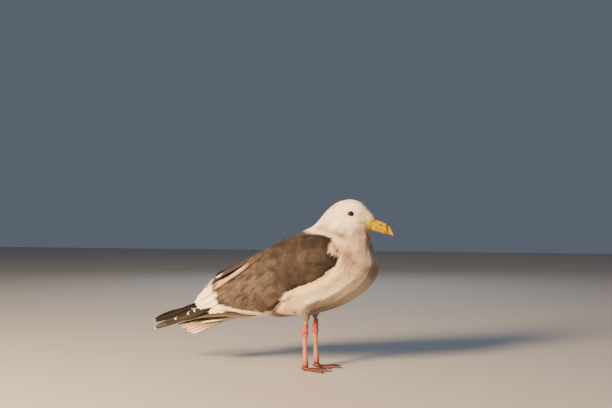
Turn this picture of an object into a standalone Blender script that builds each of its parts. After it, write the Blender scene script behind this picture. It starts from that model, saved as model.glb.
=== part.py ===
"""A grey-backed, pink-legged gull standing at rest, life size, as a museum shows one.

The bird faces +X and its left side is +Y. Sizes are in millimetres, measured from the
floor under the right ankle, and the whole bird is centred over the origin at the end.
Head, neck and trunk are one loft of ribs, parted by thin cuts. Each wing is a shell
trimmed to the trunk, with loose primary blades behind it.
"""
import math

import bmesh
import bpy
from mathutils import Matrix, Vector

MM = 0.001
GAP = 0.3            # air between neighbouring solids
SIDES = {"right": -1, "left": 1}

# ---- Body: ribs from the bill's root to the root of the tail --------------------------
# Each rib is a closed oval between a point on the bird's upper outline and one on its
# lower outline: (upper x, upper z, lower x, lower z, half width, squareness, sag).
# Squareness is the power of the oval, 2 for an ellipse. Sag above 0 sets the widest
# place below the middle of the rib.
RIBS = {
    "bill_root": (147.0, 335.0, 136.0, 307.0, 9.0, 2.3, 0.00),
    "lores":     (141.0, 347.0, 131.0, 303.5, 15.0, 2.3, 0.10),
    "forehead":  (130.5, 358.5, 131.0, 300.0, 19.5, 2.3, 0.12),
    "brow":      (117.5, 371.5, 133.0, 294.0, 24.0, 2.2, 0.13),
    "crown":     (100.0, 379.0, 136.0, 286.0, 28.0, 2.2, 0.14),
    "ear":       (79.0, 379.0, 139.0, 277.0, 31.5, 2.1, 0.14),
    "nape":      (58.0, 372.0, 142.0, 268.0, 35.5, 2.1, 0.13),
    "neck":      (39.0, 357.0, 147.0, 257.0, 40.0, 2.1, 0.12),
    "collar":    (22.0, 337.0, 152.0, 243.0, 47.0, 2.1, 0.10),
    "shoulder":  (8.0, 322.0, 154.0, 226.0, 54.5, 2.1, 0.06),
    "breast":    (-6.0, 314.0, 148.0, 206.0, 61.0, 2.1, 0.04),
    "keel":      (-20.0, 309.5, 127.0, 181.0, 65.5, 2.1, 0.04),
    "ribs":      (-35.0, 303.0, 101.0, 161.5, 68.0, 2.2, 0.06),
    "waist":     (-51.0, 296.0, 70.0, 144.0, 69.5, 2.2, 0.08),
    "flank":     (-70.0, 286.0, 30.0, 130.0, 69.0, 2.2, 0.10),
    "belly":     (-93.0, 272.0, -14.0, 121.0, 62.0, 2.2, 0.10),
    "loin":      (-118.0, 246.0, -58.0, 116.5, 51.0, 2.2, 0.08),
    "rump":      (-142.0, 200.0, -103.0, 115.5, 37.0, 2.2, 0.04),
    "vent":      (-167.0, 160.0, -148.0, 112.0, 26.0, 2.2, 0.00),
    "tail_root": (-190.0, 136.0, -186.0, 111.0, 19.0, 2.2, 0.00),
}
RIB_NAMES = list(RIBS)
RIB_POINTS = 22       # points round each rib
RINGS_PER_RIB = 2     # rings from one named rib to the next

# The body's nodes, each from one rib to another.
BODY_NODES = (
    ("head", "bill_root", "nape"),
    ("neck", "nape", "shoulder"),
    ("trunk", "shoulder", "loin"),
    ("rump", "loin", "tail_root"),
)
CUT_SHARE = 0.008     # half a thin cut, as a share of the way between two ribs

# ---- Eyes -----------------------------------------------------------------------------
EYE_AT = (97.5, 20.6, 348.0)
EYE_RADIUS = 7.0

# ---- Bill: (x, top z, bottom z, half width) along it ----------------------------------
# The two halves meet along the gape, with GAP between them.
BILL_UPPER = (
    (132.0, 337.5, 323.0, 8.6),
    (145.0, 335.5, 318.5, 8.2),
    (156.0, 333.0, 315.5, 7.0),
    (166.0, 328.8, 311.8, 6.0),
    (175.0, 323.8, 308.6, 5.2),
    (181.5, 317.2, 304.0, 4.2),
    (185.5, 309.0, 300.4, 2.9),
    (187.0, 302.0, 298.2, 1.3),
)
BILL_LOWER = (
    (132.0, 322.4, 312.0, 7.8),
    (145.0, 317.9, 310.0, 7.2),
    (156.0, 314.9, 307.6, 6.0),
    (165.0, 311.8, 304.6, 4.9),
    (171.0, 309.8, 303.6, 4.2),
    (177.0, 306.2, 303.0, 3.0),
    (181.0, 303.6, 301.8, 1.6),
)
BILL_POINTS = 10

# ---- Wings: (x, upper y, upper z, widest y, widest z, lower y, lower z, depth) --------
# Cross-sections from the bend of the wing to the tips of the tertials.
WING = {
    "bend":       (77.0, 55.0, 263.0, 64.0, 254.0, 60.0, 245.0, 10.0),
    "wrist":      (69.0, 45.0, 283.0, 71.0, 251.0, 64.0, 229.0, 24.0),
    "forearm":    (53.0, 33.0, 300.0, 76.0, 246.0, 68.0, 212.0, 32.0),
    "scapular":   (26.0, 23.0, 312.0, 78.5, 238.0, 70.0, 194.0, 36.0),
    "mid":        (-12.0, 17.0, 309.0, 79.0, 226.0, 70.0, 182.0, 38.0),
    "elbow":      (-50.0, 13.0, 297.0, 77.0, 208.0, 66.0, 158.0, 38.0),
    "coverts":    (-84.0, 9.0, 282.0, 73.0, 194.0, 56.0, 130.0, 22.0),
    "greater":    (-118.0, 5.0, 260.0, 68.0, 180.0, 48.0, 123.0, 12.0),
    "tertials":   (-152.0, 3.0, 234.0, 60.0, 168.0, 42.0, 125.0, 7.0),
    "secondary":  (-190.0, 3.0, 206.0, 50.0, 158.0, 37.0, 128.0, 5.0),
    "edge":       (-224.0, 6.0, 183.0, 41.0, 150.0, 34.0, 127.0, 4.0),
    "crescent":   (-249.0, 12.0, 169.0, 33.0, 147.0, 30.0, 131.0, 3.5),
    "tips":       (-268.0, 20.0, 152.0, 28.0, 143.0, 26.5, 136.0, 2.5),
}
WING_NAMES = list(WING)
WING_ARC = 7          # points along the outer face, and again along the inner
WING_RINGS = 2
WING_NODES = (
    ("shoulder", "bend", "scapular"),
    ("coverts", "scapular", "greater"),
    ("tertials", "greater", "tips"),
)
# The left wing is folded more loosely: its upper edge stands this much higher.
LEFT_RAISE = {"greater": 4.0, "tertials": 12.0, "secondary": 19.0, "edge": 27.0,
              "crescent": 20.0, "tips": 22.0}

# ---- Primaries, from the innermost showing to the wing point ---------------------------
PRIMARY_ROOT = (-206.0, 38.0, 147.0)
PRIMARY_END = (-379.0, 4.5, 92.0)
PRIMARY_TIP_X = (-274.0, -291.0, -325.0, -358.0, -379.0)
PRIMARY_SLIDE = (1.0, 3.0)    # how far each lies outside the last, at root and at end
PRIMARY_STACK = 1.6   # and how far under it
PRIMARY_WIDTH = 18.0
PRIMARY_ROLL = 44.0   # degrees; the outer edge hangs
PRIMARY_RAISE = 16.0  # the left wing's, above the right's
PRIMARY_REACH = 9.0   # and further back
BLADE_THICK = 1.1

# ---- Tail -----------------------------------------------------------------------------
RECTRICES = 6         # on each side
TAIL_ROOT = (-192.0, 8.4, 124.0)
TAIL_TIP = (-321.0, 8.4, 91.0)
TAIL_SHORTER = 7.5    # each pair is this much shorter than the one inside it
TAIL_SLIDE = (2.0, 5.0)   # how far each lies outside the last, at root and at tip
TAIL_STACK = 1.5      # and how far under it
TAIL_WIDTH = 16.0
TAIL_ROLL = (12.0, 6.4)   # degrees: the middle pair, and what each pair adds

# ---- Legs -----------------------------------------------------------------------------
FOOT_X = {"right": -6.0, "left": 6.0}
LEG_Y = 26.0
ANKLE_X = {"right": -7.5, "left": 2.5}
THIGH_X = {"right": -4.0, "left": 5.0}
ANKLE_Z = 86.0
SHANK_TOP = 111.0
THIGH_TOP = 152.0
TOE_ROOT_Z = 9.0
TARSUS = ((9.5, 5.8, 4.4), (17.0, 5.1, 3.5), (30.0, 4.8, 3.1), (55.0, 4.7, 3.1),
          (68.0, 5.0, 3.4), (77.0, 5.9, 4.2), (86.0, 6.3, 4.7), (94.0, 6.0, 4.4),
          (102.0, 5.6, 4.2), (110.0, 5.4, 4.2))    # (z, half depth, half width)
TOES = {"inner": (30.0, 40.0), "middle": (2.0, 52.0), "outer": (-27.0, 48.0)}
TOE_RADII = (3.7, 3.1, 3.3, 2.8, 2.9, 2.3)
WEB_THICK = 1.1
CLAW_LENGTH = 8.5
HALLUX = (10.0, 2.2)      # length and radius


# ---- Small tools ----------------------------------------------------------------------
def clear_scene():
    for obj in list(bpy.data.objects):
        bpy.data.objects.remove(obj, do_unlink=True)


def collection(name, hidden=False):
    made = bpy.data.collections.new(name)
    bpy.context.scene.collection.children.link(made)
    made.hide_render = hidden
    return made


def material(name, colour, roughness):
    made = bpy.data.materials.new(name)
    made.use_nodes = True
    shader = made.node_tree.nodes["Principled BSDF"]
    shader.inputs["Base Color"].default_value = (*colour, 1.0)
    shader.inputs["Roughness"].default_value = roughness
    shader.inputs["Metallic"].default_value = 0.0
    made.diffuse_color = (*colour, 1.0)
    return made


def between(a, b, share):
    return tuple(p + (q - p) * share for p, q in zip(a, b))


def along(rows, place):
    """The row at a place such as 2.4, read from a smooth curve through the rows."""
    last = len(rows) - 1
    low = min(max(int(math.floor(place)), 0), last - 1)
    share = min(max(place - low, 0.0), 1.0)
    before = rows[low - 1] if low else between(rows[1], rows[0], 2.0)
    after = rows[low + 2] if low + 2 <= last else between(rows[-2], rows[-1], 2.0)
    found = []
    for a, b, c, d in zip(before, rows[low], rows[low + 1], after):
        found.append(0.5 * (2 * b + (c - a) * share
                            + (2 * a - 5 * b + 4 * c - d) * share ** 2
                            + (3 * b - a - 3 * c + d) * share ** 3))
    return tuple(found)


def signed_power(value, power):
    return math.copysign(abs(value) ** power, value)


def solid_mesh(name, rings):
    """A closed loft through rings of equal count, capped flat at both ends."""
    mesh = bmesh.new()
    loops = [[mesh.verts.new(Vector(p) * MM) for p in ring] for ring in rings]
    count = len(loops[0])
    for first, second in zip(loops, loops[1:]):
        for i in range(count):
            j = (i + 1) % count
            mesh.faces.new((first[i], first[j], second[j], second[i]))
    mesh.faces.new(loops[0][::-1])
    mesh.faces.new(loops[-1])
    bmesh.ops.recalc_face_normals(mesh, faces=mesh.faces)
    data = bpy.data.meshes.new(name)
    mesh.to_mesh(data)
    mesh.free()
    return data


def add_object(name, data, home, finish):
    obj = bpy.data.objects.new(name, data)
    home.objects.link(obj)
    if finish is not None:
        data.materials.append(finish)
    data.shade_smooth()
    return obj


def apply_modifiers(obj):
    """Bakes the object's modifiers into its mesh."""
    graph = bpy.context.evaluated_depsgraph_get()
    baked = bpy.data.meshes.new_from_object(obj.evaluated_get(graph))
    obj.modifiers.clear()
    obj.data = baked


def trim(obj, cutters, operation="DIFFERENCE"):
    for cutter in cutters:
        cut = obj.modifiers.new("trim", "BOOLEAN")
        cut.operation = operation
        cut.object = cutter
        cut.solver = "EXACT"
    bpy.context.view_layer.update()
    apply_modifiers(obj)


def keep_largest_shell(obj):
    """Drops the crumbs that a cut leaves behind."""
    mesh = bmesh.new()
    mesh.from_mesh(obj.data)
    left = set(mesh.verts)
    shells = []
    while left:
        stack, shell = [left.pop()], []
        while stack:
            vert = stack.pop()
            shell.append(vert)
            for edge in vert.link_edges:
                other = edge.other_vert(vert)
                if other in left:
                    left.remove(other)
                    stack.append(other)
        shells.append(shell)
    largest = max(shells, key=len)
    for shell in shells:
        if shell is not largest:
            bmesh.ops.delete(mesh, geom=shell, context="VERTS")
    mesh.to_mesh(obj.data)
    mesh.free()


# ---- Head, neck and trunk -------------------------------------------------------------
def rib_ring(place, grow=0.0):
    """The points round the body at a place along the named ribs."""
    ux, uz, lx, lz, half, square, sag = along([RIBS[n] for n in RIB_NAMES], place)
    middle = Vector(((ux + lx) / 2, 0.0, (uz + lz) / 2))
    up = Vector((ux - lx, 0.0, uz - lz)) / 2
    up = up * (1 + grow / up.length)
    points = []
    for i in range(RIB_POINTS):
        turn = 2 * math.pi * i / RIB_POINTS
        rise = signed_power(math.cos(turn), 2 / square)
        out = signed_power(math.sin(turn), 2 / square)
        width = (half + grow) * out * (1 - sag * rise)
        points.append(middle + up * rise + Vector((0.0, width, 0.0)))
    return points


def body_rings(start, end, grow=0.0):
    steps = max(2, round((end - start) * RINGS_PER_RIB))
    return [rib_ring(start + (end - start) * i / steps, grow) for i in range(steps + 1)]


def make_body(home, finishes):
    made = {}
    for name, first, last in BODY_NODES:
        start, end = RIB_NAMES.index(first), RIB_NAMES.index(last)
        start += CUT_SHARE if start else 0.0
        end -= CUT_SHARE if last != "tail_root" else 0.0
        data = solid_mesh(name, body_rings(start, end))
        made[name] = add_object(name, data, home, finishes["feather_white"])
    return made


def grown_body(cutters):
    """The whole body, GAP larger, which trims what lies against it."""
    data = solid_mesh("body_cutter", body_rings(0, len(RIB_NAMES) - 1, GAP))
    return as_cutter(add_object("body_cutter", data, cutters, None))


def as_cutter(obj):
    obj.hide_render = True
    obj.display_type = "WIRE"
    return obj


def grown(obj, cutters):
    """A copy of an object, GAP larger all round, to trim its neighbours with."""
    copy = bpy.data.objects.new(obj.name + "_cutter", obj.data.copy())
    cutters.objects.link(copy)
    swell = copy.modifiers.new("swell", "DISPLACE")
    swell.mid_level = 0.0
    swell.strength = 2 * GAP * MM
    bpy.context.view_layer.update()
    apply_modifiers(copy)
    return as_cutter(copy)


def ball(name, centre, radius, home, finish, segments=14, rings=8):
    """A sphere with its poles across the head, placed by its location and rotation."""
    mesh = bmesh.new()
    bmesh.ops.create_uvsphere(mesh, u_segments=segments, v_segments=rings,
                              radius=radius * MM)
    data = bpy.data.meshes.new(name)
    mesh.to_mesh(data)
    mesh.free()
    obj = add_object(name, data, home, finish)
    obj.location = Vector(centre) * MM
    obj.rotation_euler = (math.radians(90), 0.0, 0.0)
    return obj


def make_eyes(head, home, cutters, finishes):
    sockets = []
    for side, sign in SIDES.items():
        centre = (EYE_AT[0], sign * EYE_AT[1], EYE_AT[2])
        ball(f"eye_{side}", centre, EYE_RADIUS, home, finishes["eye"])
        socket = ball(f"socket_{side}", centre, EYE_RADIUS + GAP, cutters, None)
        sockets.append(as_cutter(socket))
    trim(head, sockets)
    keep_largest_shell(head)


# ---- Bill -----------------------------------------------------------------------------
def bill_ring(row, upper):
    """A rounded ridge over a flat cutting edge, or its mirror for the lower half."""
    x, top, bottom, half = row
    depth = top - bottom
    points = []
    for i in range(BILL_POINTS):
        turn = math.pi * i / (BILL_POINTS - 1)
        out = math.cos(turn) * half
        rise = signed_power(math.sin(turn), 0.85) * depth
        points.append((x, out, bottom + rise if upper else top - rise))
    return points


def make_bill(home, body, finishes):
    for name, rows, upper in (("bill_upper", BILL_UPPER, True),
                              ("bill_lower", BILL_LOWER, False)):
        steps = 2 * (len(rows) - 1)
        rings = [bill_ring(along(rows, i / 2), upper) for i in range(steps + 1)]
        obj = add_object(name, solid_mesh(name, rings), home, finishes["bill"])
        trim(obj, [body])
        keep_largest_shell(obj)


# ---- Wings ----------------------------------------------------------------------------
def wing_arc(row, inset=0.0):
    """The wing's face in one cross-section, from its upper edge to its lower one."""
    _, uy, uz, wy, wz, ly, lz = row[:7]
    points = []
    for i in range(WING_ARC):
        turn = math.pi * i / (WING_ARC - 1)
        if turn <= math.pi / 2:
            y = uy + (wy - uy) * math.sin(turn)
            z = wz + (uz - wz) * math.cos(turn)
        else:
            y = ly + (wy - ly) * math.sin(turn)
            z = wz + (wz - lz) * math.cos(turn)
        middle_z = (uz + lz) / 2
        points.append((y - inset, middle_z + (z - middle_z) * (1 - 0.012 * inset)))
    return points


def wing_ring(place, side):
    raised = LEFT_RAISE if side == "left" else {}
    rows = [(*WING[n], raised.get(n, 0.0)) for n in WING_NAMES]
    row = along(rows, place)
    outer = wing_arc(row)
    inner = wing_arc(row, row[7])[::-1]
    middle = row[4]
    ring = []
    for y, z in outer + inner:
        share = max(0.0, (z - middle) / (row[2] - middle))
        ring.append((row[0], SIDES[side] * max(y, 0.8), z + row[8] * share))
    return ring


def make_wing(side, home, body, finishes):
    for part, first, last in WING_NODES:
        name = f"wing_{part}_{side}"
        start, end = WING_NAMES.index(first), WING_NAMES.index(last)
        start += CUT_SHARE / 2 if start else 0.0
        end -= CUT_SHARE / 2 if last != "tips" else 0.0
        steps = max(2, round((end - start) * WING_RINGS))
        rings = [wing_ring(start + (end - start) * i / steps, side)
                 for i in range(steps + 1)]
        obj = add_object(name, solid_mesh(name, rings), home, finishes["feather_grey"])
        trim(obj, [body])
        keep_largest_shell(obj)


# ---- Flight feathers ------------------------------------------------------------------
def blade_rings(root, tip, width, roll, sign, narrow=0.55, blunt=0.14):
    """A long feather: a thin lens in section, wide past its middle, round at its tip."""
    root, tip = Vector(root), Vector(tip)
    length = (tip - root).length
    forward = (tip - root).normalized()
    flat = Vector((0.0, sign, 0.0))
    flat = (flat - forward * flat.dot(forward)).normalized()
    across = Matrix.Rotation(sign * math.radians(roll), 3, forward) @ flat
    normal = forward.cross(across).normalized()
    shares = (0.0, 0.3, 0.6, 0.8, 1 - blunt / 2, 1 - blunt / 5, 1 - blunt / 30)
    rings = []
    for share in shares:
        spread = narrow + (1 - narrow) * min(1.0, share / 0.6)
        if share > 1 - blunt:
            gone = (share - 1 + blunt) / blunt
            spread *= math.sqrt(max(0.0, 1 - gone ** 2))
        half = width / 2 * spread
        centre = root + forward * length * share
        ring = []
        for out, rise in ((-1, 0), (-0.5, 1), (0.5, 1), (1, 0), (0.5, -1), (-0.5, -1)):
            ring.append(centre + across * half * out + normal * BLADE_THICK / 2 * rise)
        rings.append(ring)
    return rings


def stack_step(roll, slide, stack):
    """How far the next feather lies outside and under the last one."""
    turn = math.radians(roll)
    out = Vector((0.0, math.cos(turn), -math.sin(turn)))
    under = Vector((0.0, -math.sin(turn), -math.cos(turn)))
    return out * slide + under * stack


def make_primaries(side, home, trimmers, finishes):
    sign = SIDES[side]
    lift, reach = (PRIMARY_RAISE, PRIMARY_REACH) if side == "left" else (0.0, 0.0)
    lift = Vector((0.0, 0.0, lift))
    steps = [stack_step(PRIMARY_ROLL, slide, PRIMARY_STACK) for slide in PRIMARY_SLIDE]
    for i, tip_x in enumerate(PRIMARY_TIP_X):
        root = Vector(PRIMARY_ROOT) + steps[0] * i + lift
        end = Vector(PRIMARY_END) + steps[1] * i + lift
        tip = root.lerp(end, (tip_x - reach - root.x) / (end.x - root.x))
        for point in (root, tip):
            point.y *= sign
        name = f"primary_{side}_{i + 6}"
        rings = blade_rings(root, tip, PRIMARY_WIDTH, PRIMARY_ROLL, sign)
        obj = add_object(name, solid_mesh(name, rings), home, finishes["feather_dark"])
        trim(obj, trimmers)
        keep_largest_shell(obj)


def make_tail(home, finishes):
    """Each feather lies outside and under the last, so that the tail is a low roof."""
    for side, sign in SIDES.items():
        root, tip = Vector(TAIL_ROOT), Vector(TAIL_TIP)
        for i in range(RECTRICES):
            roll = TAIL_ROLL[0] + TAIL_ROLL[1] * i
            name = f"rectrix_{side}_{i + 1}"
            ends = [Vector((end.x, sign * end.y, end.z)) for end in (root, tip)]
            rings = blade_rings(*ends, TAIL_WIDTH, roll, sign, 0.5, 0.12)
            add_object(name, solid_mesh(name, rings), home, finishes["feather_white"])
            root = root + stack_step(roll, TAIL_SLIDE[0], TAIL_STACK)
            tip = tip + stack_step(roll, TAIL_SLIDE[1], TAIL_STACK)
            tip.x += TAIL_SHORTER


# ---- Legs -----------------------------------------------------------------------------
def oval_ring(centre, half_x, half_y, count=10):
    ring = []
    for i in range(count):
        turn = 2 * math.pi * i / count
        x, y = half_x * math.cos(turn), half_y * math.sin(turn)
        ring.append((centre[0] + x, centre[1] + y, centre[2]))
    return ring


def leg_x(side, z):
    """Where the leg's middle line lies at a height."""
    if z < ANKLE_Z:
        share = z / ANKLE_Z
        return FOOT_X[side] + (ANKLE_X[side] - FOOT_X[side]) * share
    share = (z - ANKLE_Z) / (SHANK_TOP - ANKLE_Z)
    return ANKLE_X[side] + (THIGH_X[side] - ANKLE_X[side]) * share


def make_leg(side, home, body, finishes):
    sign = SIDES[side]
    y = sign * LEG_Y
    rings = [oval_ring((leg_x(side, z), y, z), depth, width)
             for z, depth, width in TARSUS]
    split = 6
    for name, part in ((f"tarsus_{side}", rings[:split]),
                       (f"shank_{side}", rings[split - 1:])):
        if name.startswith("shank"):
            part = [[(px, py, pz + GAP) for px, py, pz in part[0]]] + part[1:]
        add_object(name, solid_mesh(name, part), home, finishes["leg"])
    top = leg_x(side, SHANK_TOP)
    thigh = [oval_ring((top, y, SHANK_TOP), 6.2, 5.6, 14),
             oval_ring((top - 0.5, y, SHANK_TOP + 5), 8.4, 7.6, 14),
             oval_ring((top - 3, y, SHANK_TOP + 13), 14.0, 12.0, 14),
             oval_ring((top - 7, y, THIGH_TOP), 26.0, 17.0, 14)]
    name = f"thigh_{side}"
    obj = add_object(name, solid_mesh(name, thigh), home, finishes["feather_white"])
    trim(obj, [body])
    keep_largest_shell(obj)


def toe_line(side, toe):
    """Root and tip of a toe's bones on the floor, and its heading."""
    angle, length = TOES[toe]
    # The inner toe points towards the bird's middle.
    heading = math.radians(-SIDES[side] * angle)
    way = Vector((math.cos(heading), math.sin(heading), 0.0))
    root = Vector((FOOT_X[side] + 1.0, SIDES[side] * LEG_Y, 0.0))
    return root, root + way * length, way


def tube(points, radii, count=7, floor=None):
    """Rings round a line, each one square to it, flattened where it meets the floor."""
    rings = []
    for i, point in enumerate(points):
        ahead = points[min(i + 1, len(points) - 1)] - points[max(i - 1, 0)]
        out = ahead.cross(Vector((0, 0, 1))).normalized()
        up = out.cross(ahead).normalized()
        ring = []
        for k in range(count):
            turn = 2 * math.pi * (k + 0.5) / count
            spot = point + (out * math.cos(turn) + up * math.sin(turn)) * radii[i]
            if floor is not None:
                spot.z = max(spot.z, floor)
            ring.append(spot)
        rings.append(ring)
    return rings


def make_web(side, home):
    """The skin between the toes, with a hollow front edge, as a flat plate."""
    lines = [toe_line(side, toe) for toe in ("inner", "middle", "outer")]
    root = lines[0][0]
    rim = []
    for (_, tip_a, _), (_, tip_b, _) in zip(lines, lines[1:]):
        for share in (0.0, 0.25, 0.5, 0.75):
            spot = tip_a.lerp(tip_b, share)
            sag = 1 - 0.16 * math.sin(math.pi * share)
            rim.append(root + (spot - root) * 0.94 * sag)
    rim.append(root + (lines[-1][1] - root) * 0.94)
    low, high = 0.5, 0.5 + WEB_THICK
    outline = [root + Vector((2.0, 0.0, 0.0))] + rim
    rings = [[(p.x, p.y, z) for p in outline] for z in (low, high)]
    return add_object("web", solid_mesh("web", rings), home, None)


def make_foot(side, home, finishes, scraps):
    name = f"foot_{side}"
    pieces = []
    for toe in TOES:
        root, tip, _ = toe_line(side, toe)
        lift = (5.6, 2.6, 2.5, 2.1, 2.2, 1.7)
        points = []
        for i, height in enumerate(lift):
            spot = root.lerp(tip, i / (len(lift) - 1))
            points.append(Vector((spot.x, spot.y, height)))
        rings = tube(points, TOE_RADII, floor=0.0)
        pieces.append(add_object("toe", solid_mesh("toe", rings), scraps, None))
    heel = Vector((FOOT_X[side], SIDES[side] * LEG_Y, 0.0))
    pad = [oval_ring((heel.x + 0.5, heel.y, 0.0), 4.6, 4.2),
           oval_ring((heel.x + 0.3, heel.y, 3.5), 5.8, 5.0),
           oval_ring((heel.x, heel.y, TOE_ROOT_Z - 0.1), 4.6, 3.5)]
    pieces.append(add_object("pad", solid_mesh("pad", pad), scraps, None))
    back = [heel + Vector((-2.0, 0.0, 6.0)), heel + Vector((-HALLUX[0] + 3, 0.0, 4.6)),
            heel + Vector((-HALLUX[0], 0.0, 3.4))]
    thin = (HALLUX[1], HALLUX[1] * 0.9, HALLUX[1] * 0.6)
    pieces.append(add_object("hallux", solid_mesh("hallux", tube(back, thin, 6)),
                             scraps, None))
    pieces.append(make_web(side, scraps))
    for piece in pieces[1:]:
        as_cutter(piece)
    foot = pieces[0]
    trim(foot, pieces[1:], "UNION")
    foot.name = name
    scraps.objects.unlink(foot)
    home.objects.link(foot)
    foot.data.materials.clear()
    foot.data.materials.append(finishes["leg"])
    for piece in pieces[1:]:
        bpy.data.objects.remove(piece)


def make_claws(side, home, finishes):
    for toe in TOES:
        _, tip, way = toe_line(side, toe)
        start = tip + way * (GAP + 0.1)
        points, radii = [], []
        for share, height, radius in ((0.0, 1.9, 1.5), (0.35, 2.2, 1.25),
                                      (0.75, 1.7, 0.8), (1.0, 0.7, 0.35)):
            spot = start + way * CLAW_LENGTH * share
            points.append(Vector((spot.x, spot.y, height)))
            radii.append(radius)
        name = f"claw_{toe}_{side}"
        rings = tube(points, radii, 6, floor=0.0)
        add_object(name, solid_mesh(name, rings), home, finishes["claw"])


# ---- The whole bird -------------------------------------------------------------------
def centre_over_origin(home):
    """Parents every piece to an empty that stands the bird's box over the origin."""
    bpy.context.view_layer.update()
    pieces = list(home.objects)
    spots = [obj.matrix_world @ vert.co for obj in pieces for vert in obj.data.vertices]
    low = [min(spot[axis] for spot in spots) for axis in range(3)]
    high = [max(spot[axis] for spot in spots) for axis in range(3)]
    stand = bpy.data.objects.new("gull_origin", None)
    home.objects.link(stand)
    stand.location = (-(low[0] + high[0]) / 2, -(low[1] + high[1]) / 2, -low[2])
    for obj in pieces:
        obj.parent = stand


def main():
    clear_scene()
    bird = collection("gull")
    cutters = collection("cutters", hidden=True)
    finishes = {
        "feather_white": material("white plumage", (0.80, 0.77, 0.72), 0.85),
        "feather_grey": material("grey plumage", (0.21, 0.19, 0.185), 0.8),
        "feather_dark": material("wing tips", (0.06, 0.05, 0.045), 0.7),
        "bill": material("yellow bill", (0.80, 0.50, 0.04), 0.4),
        "eye": material("dark eye", (0.02, 0.012, 0.01), 0.05),
        "leg": material("pink leg", (0.62, 0.28, 0.25), 0.55),
        "claw": material("claw", (0.03, 0.025, 0.02), 0.4),
    }
    made = make_body(bird, finishes)
    body = grown_body(cutters)
    make_eyes(made["head"], bird, cutters, finishes)
    make_bill(bird, body, finishes)
    for side in SIDES:
        make_wing(side, bird, body, finishes)
        tertials = grown(bpy.data.objects[f"wing_tertials_{side}"], cutters)
        make_primaries(side, bird, [tertials], finishes)
        make_leg(side, bird, body, finishes)
        make_foot(side, bird, finishes, cutters)
        make_claws(side, bird, finishes)
    make_tail(bird, finishes)
    centre_over_origin(bird)


main()
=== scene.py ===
"""Dresses a life-size standing gull: one skin, a coat of feathers, quills, bill and legs.

Sizes in the operators are in millimetres, measured as the frame's own parts are: x runs
towards the bill from the right ankle, y to the bird's left, z up from the floor.
"""
import math

import bmesh
import bpy
import numpy as np
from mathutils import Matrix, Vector
from mathutils.bvhtree import BVHTree


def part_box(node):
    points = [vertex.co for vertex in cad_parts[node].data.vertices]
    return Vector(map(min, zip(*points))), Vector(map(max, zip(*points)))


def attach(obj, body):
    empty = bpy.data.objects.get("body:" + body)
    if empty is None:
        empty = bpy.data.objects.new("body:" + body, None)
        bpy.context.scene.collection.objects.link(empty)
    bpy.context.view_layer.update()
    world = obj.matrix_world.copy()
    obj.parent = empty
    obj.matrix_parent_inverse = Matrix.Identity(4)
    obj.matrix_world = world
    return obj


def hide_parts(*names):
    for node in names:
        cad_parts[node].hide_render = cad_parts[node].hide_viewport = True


bl_info = {
    "name": "Standing Gull",
    "version": (1, 0, 0),
    "blender": (4, 5, 0),
    "location": "3D View > Sidebar > Gull",
    "description": "Dresses a life-size standing gull with skin, feathers, bill and legs",
    "category": "Add Mesh",
}

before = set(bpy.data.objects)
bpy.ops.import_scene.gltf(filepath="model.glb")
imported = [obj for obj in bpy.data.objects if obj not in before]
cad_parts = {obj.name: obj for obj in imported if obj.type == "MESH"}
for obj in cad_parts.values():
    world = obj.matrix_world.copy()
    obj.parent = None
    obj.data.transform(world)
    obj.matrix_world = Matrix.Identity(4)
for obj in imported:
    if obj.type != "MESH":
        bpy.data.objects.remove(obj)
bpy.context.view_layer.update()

MM = 0.001
SIDES = {"right": -1.0, "left": 1.0}
BILL_TIP_X = 187.0                          # the bill's tip, ahead of the right ankle
SHIFT = np.array([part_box("bill_upper")[1].x / MM - BILL_TIP_X, 0.0, 0.0])
BILL_ROOT = np.array([140.0, 0.0, 320.0])   # the face's feathers lie away from here
EYE_AT = np.array([97.5, 20.6, 348.0])
EYE_RADIUS = 7.0
EYE_RING = (6.2, 4.2)       # the lids' ring: its radius, and how far out from the centre
EYE_RING_THICK = 0.85       # the ring's own radius
EYE_OVAL = (1.08, 0.80)     # the opening is longer than it is high
HEAD_CORE = 12.0            # nothing of an eye lies closer than this to the middle plane
BODY_LIE = np.array([-0.75, 0.0, -0.66])    # the way the body's feathers lie
THIGH_AXIS = (0.0, 26.0)                    # where each thigh's feathers draw in to
NOSTRIL = (160.5, 323.8)                    # the slit's middle, and its line's height
SCUTE = 3.4                                 # height of one plate up the tarsus
STREAK_APART = 6.1                          # between the rear wing's slanting streaks

SKIN_NODES = ["head", "neck", "trunk", "rump"] + [
    f"{part}_{side}" for side in SIDES
    for part in ("thigh", "wing_shoulder", "wing_coverts", "wing_tertials")]

# The left wing is folded more loosely: (x, how much higher its upper edge stands).
LEFT_RAISE = np.array([(-268, 22), (-249, 20), (-224, 27), (-190, 19), (-152, 12),
                       (-118, 4), (-84, 0)], float)
# The folded wing's upper edge, widest line and lower edge: (x, upper y, upper z,
# widest z, lower y, lower z).
WING_EDGE = np.array([
    (-268, 20, 152, 143, 26.5, 136), (-249, 12, 169, 147, 30, 131),
    (-224, 6, 183, 150, 34, 127), (-190, 3, 206, 158, 37, 128),
    (-152, 3, 234, 168, 42, 125), (-118, 5, 260, 180, 48, 123),
    (-84, 9, 282, 194, 56, 130), (-50, 13, 297, 208, 66, 158)], float)

# Where the grey of the back and wing meets the white of neck, breast and flank, seen from
# the side: (x, z) corners.
WING_FRONT = [
    (-16, 330), (-12, 315), (10, 307), (38, 303), (63, 298), (62, 286), (60, 271),
    (68, 263), (80, 255), (75, 240), (66, 226), (52, 211), (30, 199), (14, 191),
    (-5, 187), (-38, 175), (-56, 153), (-73, 136)]
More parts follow.
